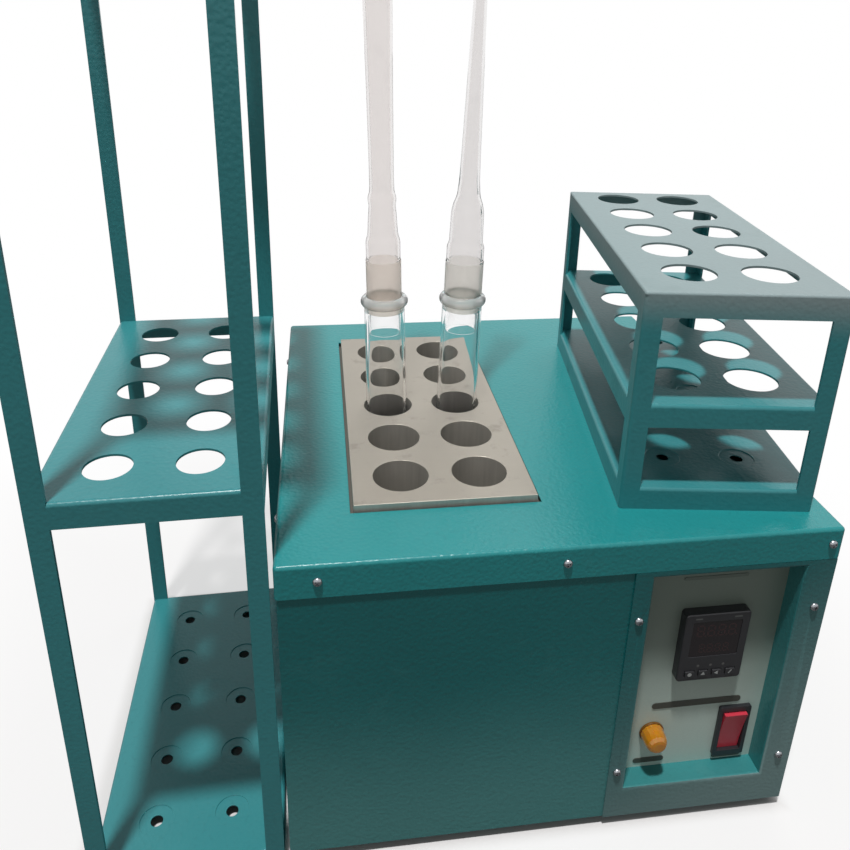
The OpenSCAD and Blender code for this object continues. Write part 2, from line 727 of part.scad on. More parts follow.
// A fixed bundle of wires with straight runs, tied along the floor and up to the panel
module wiring_loom() in_set() color([0.7, 0.12, 0.1]) {
  rise = floor_top + terminal_h + loom_d / 2;
  back_y = shell_y - sheet_t - inlet_flange_t - inlet_body_d - loom_d;
  panel_y = fascia_y + ctrl_body_d + loom_d / 2;
  path = [
    [terminal_x, terminal_y, rise],
    [terminal_x + terminal_w / 2 + loom_d, terminal_y, rise],
    [terminal_x + terminal_w / 2 + loom_d, back_y, rise],
    [terminal_x + terminal_w / 2 + loom_d, back_y, inlet_cz],
    [inlet_cx, back_y, inlet_cz]
  ];
  branch = [
    [terminal_x, terminal_y, rise],
    [terminal_x, panel_y, rise],
    [ctrl_cx, panel_y, rise],
    [ctrl_cx, panel_y, ctrl_cz]
  ];
  wire_run(path);
  wire_run(branch);
}

module wire_run(points) {
  for (i = [0 : len(points) - 2]) rod(points[i], points[i + 1], loom_d);
  for (p = points) translate(p) sphere(d = loom_d, $fn = 24);
}

// A round rod between two points
module rod(p, q, d) {
  v = q - p;
  length = norm(v);
  translate(p) rotate([0, acos(v[2] / length), atan2(v[1], v[0])]) cylinder(d = d, h = length, $fn = 24);
}

module mains_inlet() in_set() color(BLACK) on_back(inlet_cx, inlet_cz, shell_y) difference() {
  union() {
    round_block(inlet_w, inlet_h, inlet_flange_t, 3);
    translate([-inlet_body_w / 2, -inlet_body_h / 2, -inlet_body_d])
      cube([inlet_body_w, inlet_body_h, inlet_body_d + 1]);
  }
  translate([0, 0, inlet_flange_t - inlet_socket_d])
    round_block(inlet_socket_w, inlet_socket_h, inlet_socket_d + 1, 2);
  for (s = [-1, 1]) translate([s * inlet_screw_pitch / 2, 0, 0]) screw_hole();
  at_pins() translate([-pin_t / 2, -pin_w / 2, -inlet_body_d - 1]) cube([pin_t, pin_w, inlet_body_d]);
}

module at_pins() {
  for (i = [-1 : 1]) translate([i * pin_pitch, i == 0 ? pin_w / 2 : -pin_w / 4, 0]) children();
}

module inlet_pins() in_set() color([0.85, 0.75, 0.4]) on_back(inlet_cx, inlet_cz, shell_y)
  at_pins() translate([-pin_t / 2, -pin_w / 2, -inlet_body_d - 6]) cube([pin_t, pin_w, pin_l + 6]);

module rubber_feet() in_set() color([0.08, 0.08, 0.08]) at_feet() difference() {
  cylinder(d1 = foot_d - 4, d2 = foot_d, h = foot_h);
  translate([0, 0, -1]) cylinder(d = screw_head_d + 2, h = foot_h / 2 + 1);
  cylinder(d = screw_d + 2 * screw_clear, h = foot_h + 1);
}

module foot_screws() in_set() color(STEEL) at_feet() {
  translate([0, 0, foot_h / 2 - screw_head_h]) cylinder(d = screw_head_d, h = screw_head_h);
  cylinder_from(foot_h / 2, floor_top + 4, screw_d);
  translate([0, 0, floor_top]) cylinder(d = 2 * screw_d, h = 2.6, $fn = 6);
}

module cylinder_from(z0, z1, d) translate([0, 0, z0]) cylinder(d = d, h = z1 - z0);

module cover_screws() in_set() color(STEEL) at_cover_screws() pan_screw();

module panel_screws() in_set() color(STEEL) at_panel_screws() pan_screw();

module inlet_screws() in_set() color(STEEL) on_back(inlet_cx, inlet_cz, shell_y)
  for (s = [-1, 1]) translate([s * inlet_screw_pitch / 2, 0, inlet_flange_t]) pan_screw();

// ---- glassware -----------------------------------------------------------------------------

// Places a child on a vessel's own axis, its origin at the centre of the vessel's round bottom
module in_well(side, lean) {
  radius = vessel_d / 2;
  drop = (vessel_pivot_z - well_bottom - vessel_wall_gap - radius) / cos(lean);
  translate([block_cx + side * well_pitch_x / 2, (vessel_row - (well_rows - 1) / 2) * well_pitch_y,
    vessel_pivot_z])
    rotate([0, lean, 0]) translate([0, 0, -drop]) children();
}

function arc(r, from, to) =
  [for (k = [0 : arc_steps]) let (a = from + (to - from) * k / arc_steps) [r * cos(a), r * sin(a)]];

// Height of the mouth above the centre of the round bottom
mouth_z = vessel_l - vessel_d / 2;
socket_r = cone_r + joint_gap;
bead_mid_r = (bead_d - bead_h) / 2;
// The bead's round starts where it leaves the tube
bead_foot = -acos((socket_r + glass_t - bead_mid_r) / (bead_h / 2));
function socket_at(z) = socket_r - cone_taper * (mouth_z - z);

module digestion_vessel() color(GLASS) rotate_extrude($fn = 64) polygon(concat(
  arc(vessel_d / 2, -90, 0),
  [[vessel_d / 2, mouth_z - cone_in - 12], [socket_r + glass_t, mouth_z - cone_in - 2],
   [socket_r + glass_t, mouth_z - bead_h - 4]],
  [for (p = arc(bead_h / 2, bead_foot, 90)) [p[0] + bead_mid_r, p[1] + mouth_z - bead_h / 2]],
  [[socket_r, mouth_z], [socket_at(mouth_z - cone_in), mouth_z - cone_in],
   [vessel_d / 2 - glass_t, mouth_z - cone_in - 12]],
  [for (p = arc(vessel_d / 2 - glass_t, 0, -90)) p]));

// An air condenser: hollow, with a ground cone at the bottom and a straight collar over it. The
// profile lists the tube's radii and their heights over the collar.
module air_condenser(collar_d, collar_h, profile) color(GLASS) {
  outer = concat(
    [[cone_r - cone_taper * cone_in, -cone_in], [cone_r, 0], [collar_d / 2, collar_rise],
     [collar_d / 2, collar_h]],
    [for (p = profile) [p[0], collar_h + p[1]]],
    [[profile[len(profile) - 1][0], condenser_l - cone_in]]);
  inner = [for (i = [len(outer) - 1 : -1 : 0]) [outer[i][0] - glass_t, outer[i][1]]];
  translate([0, 0, mouth_z]) rotate_extrude($fn = 64) polygon(concat(outer, inner));
}

tube_profile_left = [[10.4, 3], [9.8, 18], [8.6, 34], [8.3, 50], [8.8, 105], [9.6, 155]];
tube_profile_right = [[12, 3], [11.5, 25], [10.2, 31], [8.2, 36], [7.2, 46], [6.8, 60], [6.2, 85],
  [4.5, 161]];

module digestion_vessel_1() in_set() in_well(-1, lean_left) digestion_vessel();
module digestion_vessel_2() in_set() in_well(1, lean_right) digestion_vessel();
module air_condenser_1() in_set() in_well(-1, lean_left)
  air_condenser(collar_d_left, collar_h_left, tube_profile_left);
module air_condenser_2() in_set() in_well(1, lean_right)
  air_condenser(collar_d_right, collar_h_right, tube_profile_right);

// ---- racks ---------------------------------------------------------------------------------

// Footprints of an upright in the corner at the origin: the tube rack's angle and the stand's bar
module angle_foot() {
  square([rack_post_w, angle_t]);
  square([angle_t, rack_post_w]);
}

module bar_foot() square([stand_bar_w, stand_bar_t]);

// Puts children, drawn for the front left corner, into one of the four corners
module in_corner(w, d, right, back) translate([right * w, back * d, 0]) mirror([right, 0, 0])
  mirror([0, back, 0]) children();

// A sheet with lips turned down all round, its top at z = 0. The child is an upright's footprint,
// for which the sheet is notched.
module lipped_sheet(w, d, lip, over_posts) difference() {
  translate([0, 0, -lip]) cube([w, d, lip]);
  translate([rack_sheet, rack_sheet, -lip - 1])
    cube([w - 2 * rack_sheet, d - 2 * rack_sheet, lip - rack_sheet + 1]);
  for (right = [0, 1], back = [0, 1])
    translate([0, 0, -lip - 1]) in_corner(w, d, right, back)
      linear_extrude(over_posts ? lip + 1 - rack_sheet : lip + 2) children();
}

module hole_grid(cx, cy, pitch_x, pitch_y, d, depth) {
  for (i = [-0.5, 0.5], j = [-2 : 2])
    translate([cx + i * pitch_x, cy + j * pitch_y, -depth]) cylinder(d = d, h = depth + 1);
}

module rack_place(z) translate([rack_x, rack_y, case_top]) rotate(rack_turn) translate([0, 0, z])
  children();

module rack_plate(z, hole_d, seats, over_posts) color(TEAL) rack_place(z) difference() {
  lipped_sheet(rack_w, rack_d, rack_lip, over_posts) angle_foot();
  hole_grid(rack_w / 2, rack_cy, rack_pitch_x, rack_pitch_y, hole_d, 2 * rack_sheet);
  if (seats) hole_grid(rack_w / 2, rack_cy, rack_pitch_x, rack_pitch_y, seat_d, seat_depth);
}

module rack_post(right, back) color(TEAL) rack_place(0)
  in_corner(rack_w, rack_d, right, back) linear_extrude(rack_h - rack_sheet) angle_foot();

module rack_top_plate() in_set() rack_plate(rack_h, rack_hole_d, false, true);
module rack_middle_plate() in_set() rack_plate(rack_mid_z, rack_hole_d, false, false);
module rack_bottom_plate() in_set() rack_plate(rack_lip, drain_d, true, false);
module rack_post_front_left() in_set() rack_post(0, 0);
module rack_post_front_right() in_set() rack_post(1, 0);
module rack_post_back_left() in_set() rack_post(0, 1);
module rack_post_back_right() in_set() rack_post(1, 1);

module stand_place(z) translate([stand_x, stand_y, 0]) rotate(stand_turn) translate([0, 0, z]) children();

module stand_shelf(z, lip, hole_d, over_posts) color(TEAL) stand_place(z) difference() {
  lipped_sheet(stand_w, stand_d, lip, over_posts) bar_foot();
  hole_grid(stand_w / 2, stand_cy, stand_pitch_x, stand_pitch_y, hole_d, 2 * rack_sheet);
}

// The tray's lips are as high as the tray, so that it rests on them
module stand_bottom_tray() in_set() difference() {
  stand_shelf(stand_tray_z, stand_tray_z, drain_d, false);
  stand_place(stand_tray_z)
    hole_grid(stand_w / 2, stand_cy, stand_pitch_x, stand_pitch_y, seat_d, seat_depth);
}

module stand_post(right, back) color(TEAL) stand_place(0)
  in_corner(stand_w, stand_d, right, back) linear_extrude(stand_h - rack_sheet) bar_foot();

module stand_top_shelf() in_set() stand_shelf(stand_h, stand_lip, stand_hole_d, true);
module stand_middle_shelf() in_set() stand_shelf(stand_mid_z, stand_lip, stand_hole_d, false);
module stand_post_front_left() in_set() stand_post(0, 0);
module stand_post_front_right() in_set() stand_post(1, 0);
module stand_post_back_left() in_set() stand_post(0, 1);
module stand_post_back_right() in_set() stand_post(1, 1);

// ---- assembly ------------------------------------------------------------------------------

base_tray();
body_shell();
front_panel();
control_frame();
fascia_plate();
top_cover();
heating_block();
plate_heater();
insulation_jacket();
inner_shield();
shield_pillars();
temperature_probe();
controller_housing();
display_window();
indicator_lights();
controller_key_1();
controller_key_2();
controller_key_3();
controller_key_4();
lamp_lens();
lamp_body();
switch_housing();
switch_rocker();
legend_strips();
relay_heat_sink();
solid_state_relay();
terminal_block();
wiring_loom();
mains_inlet();
inlet_pins();
rubber_feet();
foot_screws();
cover_screws();
panel_screws();
inlet_screws();
digestion_vessel_1();
digestion_vessel_2();
air_condenser_1();
air_condenser_2();
rack_top_plate();
rack_middle_plate();
rack_bottom_plate();
rack_post_front_left();
rack_post_front_right();
rack_post_back_left();
rack_post_back_right();
stand_top_shelf();
stand_middle_shelf();
stand_bottom_tray();
stand_post_front_left();
stand_post_front_right();
stand_post_back_left();
stand_post_back_right();
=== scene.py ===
"""Finished pieces, materials, floor, lamps and camera for the block digester, round its packed frame."""

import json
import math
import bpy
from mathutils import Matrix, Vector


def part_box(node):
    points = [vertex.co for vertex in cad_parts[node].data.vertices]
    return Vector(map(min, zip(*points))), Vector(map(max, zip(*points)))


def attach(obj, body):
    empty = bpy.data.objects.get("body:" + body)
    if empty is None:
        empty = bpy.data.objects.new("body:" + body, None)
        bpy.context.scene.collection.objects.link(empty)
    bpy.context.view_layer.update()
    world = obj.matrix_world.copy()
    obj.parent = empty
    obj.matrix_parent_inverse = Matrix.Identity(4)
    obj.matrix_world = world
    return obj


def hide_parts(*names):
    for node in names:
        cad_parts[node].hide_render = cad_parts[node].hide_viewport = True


bl_info = {
    "name": "Block Digester",
    "version": (1, 0, 0),
    "blender": (4, 5, 0),
    "location": "3D View > Sidebar > Digester",
    "description": "Dresses the packed block digester with its finished pieces and sets its studio",
    "category": "Object",
}

import bmesh
import bpy
from mathutils import Matrix, Vector

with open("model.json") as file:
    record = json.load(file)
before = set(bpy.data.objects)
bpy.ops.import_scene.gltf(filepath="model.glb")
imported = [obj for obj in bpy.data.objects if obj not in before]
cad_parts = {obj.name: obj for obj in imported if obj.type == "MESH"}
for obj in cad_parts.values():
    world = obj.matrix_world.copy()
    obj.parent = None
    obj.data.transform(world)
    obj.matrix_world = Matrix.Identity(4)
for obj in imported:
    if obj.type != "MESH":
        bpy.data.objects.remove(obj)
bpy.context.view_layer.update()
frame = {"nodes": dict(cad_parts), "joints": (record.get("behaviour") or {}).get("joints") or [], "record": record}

MM = 0.001
CAD_NODES = frame["nodes"]
RECORD = frame["record"]
BODY = {node: body for body, group in RECORD["behaviour"]["bodies"].items() for node in group}
SLOT = {part["node"]: part["material_slot"] for part in RECORD["subparts"]}
JOINT = {joint["name"]: joint for joint in frame["joints"]}
LOOKS = {}

TOUCH = 0.01 * MM  # how near a vertex counts as lying on a side
MERGE = 0.002 * MM  # how near two vertices are made one
PRINT = 0.05 * MM  # thickness of a printed sign

# Nodes that keep their own CAD mesh and only get a material
PLAIN_NODES = {
    "fascia_plate": "fascia",
    "plate_heater": "mica",
    "insulation_jacket": "ceramic_fibre",
    "inner_shield": "zinc_steel",
    "shield_pillars": "zinc_steel",
    "temperature_probe": "zinc_steel",
    "relay_heat_sink": "machined_aluminium",
    "solid_state_relay": "black_plastic",
    "terminal_block": "white_plastic",
    "wiring_loom": "wire_cover",
    "inlet_pins": "contact_brass",
    "foot_screws": "screw_steel",
    "indicator_lights": "light_plastic",
}

# Outer lines of the condensers: radius and height over the vessel's mouth, in millimetres
CONDENSER_LINES = {
    1: (
        (11.2, -28), (12, -12), (12.6, 0), (12.5, 1.5), (12.5, 27), (12.1, 27.6), (12.1, 41), (10.6, 45.5),
        (9.8, 60), (9.2, 66), (9.9, 70), (9.7, 72.5), (8.5, 76), (8.4, 91), (8.8, 146), (9.6, 196),
        (9.6, 442),
    ),
    2: (
        (11.2, -28), (12, -12), (12.6, 0), (13.7, 1.5), (13.7, 25), (13.3, 25.6), (13.3, 36), (12, 39),
        (11.5, 61), (10.2, 67), (8.2, 72), (7.2, 82), (6.8, 96), (6.2, 121), (4.5, 197), (4.5, 442),
    ),
}

# Lamps: place, point aimed at and width, in metres, and the stage's setting for their power
LAMPS = {
    "key_lamp": ((-0.60, -1.26, 6.0), (0, 0, 0.25), 0.36, "key"),
    "back_lamp": ((0.9, 1.1, 2.0), (0, 0, 0.2), 1.4, "back"),
    "front_lamp": ((-0.5, -2.2, 1.1), (0, 0, 0.2), 1.6, "front"),
}


# ---- sizes and colours that a user would change --------------------------------------------


def colour(name, description, default):
    return bpy.props.FloatVectorProperty(
        name=name, description=description, default=default, subtype="COLOR", size=3, min=0, max=1
    )


def length(name, description, default):
    return bpy.props.FloatProperty(
        name=name, description=description, default=default, min=0, unit="LENGTH", subtype="DISTANCE",
        precision=5,
    )


def share(name, description, default, top=1.0):
    return bpy.props.FloatProperty(
        name=name, description=description, default=default, min=0, max=top, subtype="FACTOR"
    )


def number(name, description, default, low=0.0, high=1000.0):
    return bpy.props.FloatProperty(name=name, description=description, default=default, min=low, max=high)


def power(name, description, default):
    return bpy.props.FloatProperty(name=name, description=description, default=default, min=0, unit="POWER")


def count(name, description, default, low, high):
    return bpy.props.IntProperty(name=name, description=description, default=default, min=low, max=high)


class DigesterPaint(bpy.types.PropertyGroup):
    """Colours and folds of the painted sheet"""

    teal: colour("Teal", "Hammered enamel of the cover and the shell", (0.019, 0.287, 0.295))
    # The cover's teal darkened as painted shade, for the front panel under the cover's lip and for the tray
    dark_teal: colour("Dark teal", "Hammered enamel of the cover darkened with painted shade, for the front panel and the tray", (0.006, 0.158, 0.162))
    rack: colour("Rack teal", "Duller enamel of the tube rack and the condenser stand", (0.042, 0.27, 0.29))
    frame: colour("Frame teal", "Enamel of the control frame", (0.012, 0.15, 0.155))
    recess: colour("Recess teal", "Enamel of the walls of the control frame's recess", (0.04, 0.235, 0.24))
    # Frame sheen is a painted greyish sheen low on the right of the control frame
    frame_sheen: colour("Frame sheen", "Painted greyish sheen low on the right of the control frame", (0.26, 0.36, 0.355))
    # Rack sheen is a painted greyish sheen on top of the tube rack
    rack_sheen: colour("Rack sheen", "Painted greyish sheen on top of the tube rack", (0.58, 0.48, 0.47))
    # Panel light is painted light: a lighter teal low on the front panel
    panel_light: colour("Panel light", "Painted light low on the front panel", (0.24, 0.56, 0.54))
    grain: length("Grain", "Width of one dimple of the hammered enamel", 2.3 * MM)
    grain_depth: length("Grain depth", "Depth of the dimples", 0.2 * MM)
    rack_depth: length("Rack grain depth", "Depth of the dimples on the racks", 0.13 * MM)
    bend: length("Bend", "Outer radius of the folds of the case", 2.5 * MM)
    rack_bend: length("Rack bend", "Outer radius of the folds of the racks", 2.4 * MM)
    top_bend: length("Top bend", "Outer radius of the folds of a rack's top sheet", 1.4 * MM)
    edge: length("Edge", "Radius of a deburred sheet edge", 0.3 * MM)


class DigesterMetal(bpy.types.PropertyGroup):
    """Colours of the bare metal"""

    block: colour("Block", "Milled top of the heating block", (0.40, 0.37, 0.32))
    # On the block's sides this darker metal is painted shade
    well: colour("Well", "Walls of the wells and sides of the block", (0.50, 0.475, 0.43))
    screw: colour("Screw", "Zinc plated screws", (0.36, 0.37, 0.39))
    chamfer: length("Chamfer", "Chamfer of the wells and of the block's edges", 0.6 * MM)


class DigesterPanel(bpy.types.PropertyGroup):
    """Colours and details of the control panel"""

    # The fascia's colour is its top, darkened with painted shade cast by the frame's top edge; the lit fascia is
    # painted light low down
    fascia: colour("Fascia", "Grey green plate in the recess, darkened with painted shade at its top", (0.215, 0.265, 0.225))
    fascia_lit: colour("Lit fascia", "Painted light on the fascia low down", (0.60, 0.72, 0.655))
    lamp: colour("Lamp", "Amber lens of the pilot lamp", (0.53, 0.21, 0.008))
    rocker: colour("Rocker", "Red rocker of the switch", (0.66, 0.045, 0.075))
    marks: colour("Marks", "Light signs on the controller's keys", (0.40, 0.42, 0.41))
    digits: colour("Digits", "Unlit segments behind the display window", (0.034, 0.013, 0.015))
    facets: count("Facets", "Facets round the pilot lamp's lens", 14, 8, 32)
    housing_edge: length("Housing edge", "Radius of the controller's front edge", 1.1 * MM)


class DigesterGlass(bpy.types.PropertyGroup):
    """Colours and walls of the glassware"""

    clear: colour("Clear glass", "Glass of the vessels", (0.985, 0.985, 0.985))
    drawn_left: colour("Left tube", "Glass of the left condenser", (0.86, 0.835, 0.825))
    drawn_right: colour("Right tube", "Glass of the right condenser", (0.85, 0.835, 0.83))
    ground_left: colour("Left joint", "Ground joint of the left condenser", (0.93, 0.83, 0.76))
    ground_right: colour("Right joint", "Ground joint of the right condenser", (0.88, 0.85, 0.80))
    bead_glass: colour("Bead glass", "Beads round the vessels' mouths", (0.95, 0.96, 0.955))
    wall: length("Wall", "Thickness of the glass", 1.8 * MM)
    bead: length("Bead", "Diameter of the bead round a vessel's mouth", 34 * MM)
    bead_height: length("Bead height", "Height of the bead round a vessel's mouth", 8 * MM)
    frost: length("Frost", "How far down from its mouth a vessel's joint is ground", 12 * MM)
    steps: count("Steps", "Steps round a glass piece", 80, 24, 160)


class DigesterStage(bpy.types.PropertyGroup):
    """Floor, lamps and camera"""

    floor: colour("Floor", "Plain pale floor", (0.88, 0.855, 0.845))
    key: power("Key lamp", "Power of the small lamp high over the object", 272)
    back: power("Back lamp", "Power of the wide lamp over the back right", 6)
    front: power("Front lamp", "Power of the wide weak lamp in front", 0.8)
    ambient: share("Ambient", "Strength of the studio's even light", 0.155, 4.0)
    eye: bpy.props.FloatVectorProperty(
        name="Eye", description="Place of the camera", default=(-0.08599, -0.53522, 0.52084), size=3,
        unit="LENGTH", subtype="TRANSLATION",
    )
    turn: bpy.props.FloatVectorProperty(
        name="Turn", description="Yaw, pitch and roll of the camera", default=(0.1492, 0.3604, 0.0274),
        size=3, unit="ROTATION", subtype="EULER",
    )
    lens: number("Lens", "Focal length of the camera in millimetres", 33.5647, 10, 200)
    shift: bpy.props.FloatVectorProperty(
        name="Shift", description="Lens shift of the camera", default=(-0.011275, -0.142080), size=2
    )


# ---- shader maths ---------------------------------------------------------------------------


class Value:
    """A socket in a node tree. Python's operators on it add Math nodes."""

    def __init__(self, nodes, socket):
        self.nodes = nodes
        self.socket = socket

    def maths(self, operation, first, second):
        return self.nodes.add("Math", {"operation": operation}, {0: first, 1: second})

    def __add__(self, other):
        return self.maths("ADD", self, other)

    def __radd__(self, other):
        return self.maths("ADD", other, self)

    def __sub__(self, other):
        return self.maths("SUBTRACT", self, other)

    def __rsub__(self, other):
        return self.maths("SUBTRACT", other, self)

    def __mul__(self, other):
        return self.maths("MULTIPLY", self, other)

    def __rmul__(self, other):
        return self.maths("MULTIPLY", other, self)


class Nodes:
    """A node tree, of a material or of the world, while its nodes are laid out."""

    def __init__(self, owner):
        owner.use_nodes = True
        self.tree = owner.node_tree
        self.tree.nodes.clear()

    def add(self, kind, settings, sockets, out=0):
        """Adds a node: its type, settings, values or links of its sockets, and the output that is used."""
        node = self.tree.nodes.new("ShaderNode" + kind)
        for name, setting in settings.items():
            setattr(node, name, setting)
        for key, given in sockets.items():
            if isinstance(given, Value):
                self.tree.links.new(given.socket, node.inputs[key])
            else:
                node.inputs[key].default_value = given
        return Value(self, node.outputs[out]) if node.outputs else None

    def other(self, value, out):
        """Another output of the node that a value comes from."""
        return Value(self, value.socket.node.outputs[out])

    def seen(self, *others):
        """1 for what the camera sees, straight or through glass, and for any other kinds of ray named."""
        rays = self.add("LightPath", {}, {}, "Is Camera Ray")
        found = rays
        for kind in ("Is Transmission Ray", *others):
            found = found.maths("MAXIMUM", found, self.other(rays, kind))
        return found


class Finish(Nodes):
    """A material while its nodes are laid out."""

    def __init__(self, name):
        self.material = bpy.data.materials.new(name + "_look")
        super().__init__(self.material)
        self.place = self.add("TexCoord", {}, {}, "Object")

    def stretched(self, x, y, z):
        return self.add("Mapping", {}, {"Vector": self.place, "Scale": (x, y, z)})

    def noise(self, scale, detail=2.0, rough=0.5, place=None):
        """Soft noise with so many cells to the metre."""
        sockets = {"Vector": place or self.place, "Scale": scale, "Detail": detail, "Roughness": rough}
        return self.add("TexNoise", {}, sockets)

    def cells(self, scale):
        sockets = {"Vector": self.place, "Scale": scale, "Smoothness": 1.0}
        return self.add("TexVoronoi", {"feature": "SMOOTH_F1"}, sockets)

    def band(self, mask, low, high):
        """0 below low and 1 above high, with a soft step between."""
        sockets = {"Value": mask, "From Min": low, "From Max": high}
        return self.add("MapRange", {"interpolation_type": "SMOOTHSTEP"}, sockets)

    def blend(self, first, second, mask):
        """first where mask is 0 and second where it is 1."""
        first = first if isinstance(first, Value) else (*first, 1.0)
        second = second if isinstance(second, Value) else (*second, 1.0)
        return self.add("Mix", {"data_type": "RGBA"}, {0: mask, 6: first, 7: second}, 2)

    def bump(self, height, depth, strength=1.0):
        return self.add("Bump", {}, {"Height": height, "Distance": depth, "Strength": strength})

    def shell(self, body, gloss, relief, more=None):
        """Closes the material with one Principled shader. More gives its other sockets."""
        sockets = {"Base Color": body, "Roughness": gloss, "Normal": relief, **(more or {})}
        shader = self.add("BsdfPrincipled", {}, sockets)
        self.add("OutputMaterial", {}, {"Surface": shader})
        return self.material


def tone(rgb, factor):
    return tuple(min(1.0, part * factor) for part in rgb)


def enamel(name, rgb, paint, depth, painted_light=None):
    """Hammered enamel: smooth dimples, slow changes of tone, a few dusty patches, and painted light where it is
    given.

    Painted light is the colour of the painted light, its most share, the direction in which it gets stronger, and
    the two distances in that direction between which it does.
    """
    finish = Finish(name)
    cells = finish.cells(1.0 / paint.grain)
    cloud = finish.noise(7.0, 3.0)
    speck = finish.noise(1400.0, 2.0)
    dust = finish.band(finish.noise(26.0, 5.0, 0.65), 0.55, 0.8)
    body = finish.blend(tone(rgb, 0.86), tone(rgb, 1.14), cloud)
    pits = finish.blend(body, tone(rgb, 0.72), finish.band(cells, 0.45, 0.9) * 0.35)
    dust_and_light = finish.blend(pits, (0.10, 0.27, 0.26), dust * 0.16)
    gloss = 0.27 + dust * 0.16 + speck * 0.06
    if painted_light:
        # Painted light: a colour that stands in for light falling on the sheet, blended in along a direction
        light_rgb, most, way, start, end = painted_light
        along = finish.add("VectorMath", {"operation": "DOT_PRODUCT"}, {0: finish.place, 1: way}, "Value")
        painted_light_mask = finish.band(along + (cloud + -0.5) * ((end - start) * 0.3), start, end)
        dust_and_light = finish.blend(dust_and_light, light_rgb[:], painted_light_mask * most)
        gloss = gloss + painted_light_mask * 0.2
    relief = finish.bump(cells + speck * 0.06, depth)
    return finish.shell(dust_and_light, gloss, relief, {"Specular IOR Level": 0.42})


def satin(name, rgb, scale, rough):
    """A plain moulded or sprayed surface: fine grain, slow changes of tone and of gloss."""
    finish = Finish(name)
    grain = finish.noise(scale, 3.0)
    cloud = finish.noise(18.0, 3.0)
    body = finish.blend(tone(rgb, 0.9), tone(rgb, 1.1), cloud * 0.7 + grain * 0.3)
    gloss = rough + (cloud + -0.5) * 0.12
    return finish.shell(body, gloss, finish.bump(grain, 0.03 * MM))


def shade_and_light_plate(name, rgb, lit_rgb, shaded_at, dust_and_light):
    """A satin plate with painted shade at one height, in its own colour, and lighter with painted light down to
    another.
    """
    finish = Finish(name)
    grain = finish.noise(900.0, 3.0)
    cloud = finish.noise(18.0, 3.0)
    height = finish.add("SeparateXYZ", {}, {0: finish.place}, "Z")
    painted_light_mask = finish.band(height + (cloud + -0.5) * 50 * MM, shaded_at, dust_and_light)
    body = finish.blend(rgb, lit_rgb, painted_light_mask)
    speckled = finish.blend(body, tone(rgb, 0.7), grain * 0.16)
    return finish.shell(speckled, 0.42 + painted_light_mask * 0.1, finish.bump(grain, 0.03 * MM))


def milled(name, rgb):
    """Milled aluminium: fine straight tool marks and faint stains."""
    finish = Finish(name)
    marks = finish.noise(900.0, 3.0, 0.6, finish.stretched(0.05, 1.0, 0.6))
    cloud = finish.noise(22.0, 4.0, 0.6)
    spots = finish.band(finish.noise(60.0, 4.0, 0.6), 0.56, 0.72)
    body = finish.blend(tone(rgb, 0.9), tone(rgb, 1.1), cloud * 0.6 + marks * 0.4)
    stained = finish.blend(body, tone(rgb, 0.74), spots * 0.55)
    gloss = 0.38 + spots * 0.14 + marks * 0.08
    return finish.shell(stained, gloss, finish.bump(marks, 0.015 * MM), {"Metallic": 1.0})


def bored(name, rgb):
    """Wall of a well and side of the block: dull oxidised metal with faint streaks running down; on the block's
    sides its darkness is painted shade.
    """
    finish = Finish(name)
    streaks = finish.noise(260.0, 3.0, 0.6, finish.stretched(1.0, 1.0, 0.04))
    cloud = finish.noise(30.0, 4.0, 0.6)
    body = finish.blend(tone(rgb, 0.62), tone(rgb, 1.35), streaks * 0.6 + cloud * 0.4)
    return finish.shell(body, 0.42 + cloud * 0.15, finish.bump(streaks, 0.04 * MM), {"Metallic": 0.45})


def plated(name, rgb, rough):
    """Plated or drawn metal: tiny scratches and slightly uneven gloss."""
    finish = Finish(name)
    scratch = finish.noise(1500.0, 2.0, 0.6, finish.stretched(1.0, 0.2, 1.0))
    cloud = finish.noise(70.0, 3.0)
    body = finish.blend(tone(rgb, 0.88), tone(rgb, 1.08), cloud)
    return finish.shell(body, rough + cloud * 0.12, finish.bump(scratch, 0.01 * MM), {"Metallic": 1.0})


def fibre(name, rgb):
    """Ceramic fibre board: short matted fibres."""
    finish = Finish(name)
    hairs = finish.noise(500.0, 5.0, 0.7, finish.stretched(1.0, 0.3, 2.0))
    body = finish.blend(tone(rgb, 0.82), rgb, hairs)
    return finish.shell(body, 0.9 + hairs * 0.05, finish.bump(hairs, 0.3 * MM))


def amber(name, rgb):
    """Amber plastic of the lamp's lens, cloudy and a little bright from inside."""
    finish = Finish(name)
    cloud = finish.noise(120.0, 3.0)
    body = finish.blend(tone(rgb, 0.75), tone(rgb, 1.2), cloud)
    return finish.shell(body, 0.12 + cloud * 0.08, finish.bump(cloud, 0.02 * MM), {
        "Coat Weight": 0.6, "Coat Roughness": 0.08, "Subsurface Weight": 0.35, "Subsurface Scale": 4 * MM,
        "Emission Color": body, "Emission Strength": 0.10,
    })


def gloss_plastic(name, rgb, rough):
    """Smooth plastic, a little uneven in tone and gloss."""
    finish = Finish(name)
    cloud = finish.noise(60.0, 3.0)
    body = finish.blend(tone(rgb, 0.94), tone(rgb, 1.06), cloud)
    return finish.shell(body, rough + cloud * 0.08, finish.bump(cloud, 0.01 * MM))


def glass(name, rgb, rough=0.0):
    """Clear tube glass with a faint wave from drawing and a trace of haze."""
    finish = Finish(name)
    wave = finish.noise(55.0, 2.0, 0.4, finish.stretched(1.0, 1.0, 0.25))
    haze = finish.band(finish.noise(80.0, 4.0, 0.6), 0.5, 0.85)
    body = finish.blend(rgb, tone(rgb, 0.96), haze)
    relief = finish.bump(wave, 0.12 * MM, 0.5)
    return finish.shell(body, rough + haze * 0.02, relief, {"IOR": 1.22, "Transmission Weight": 1.0})


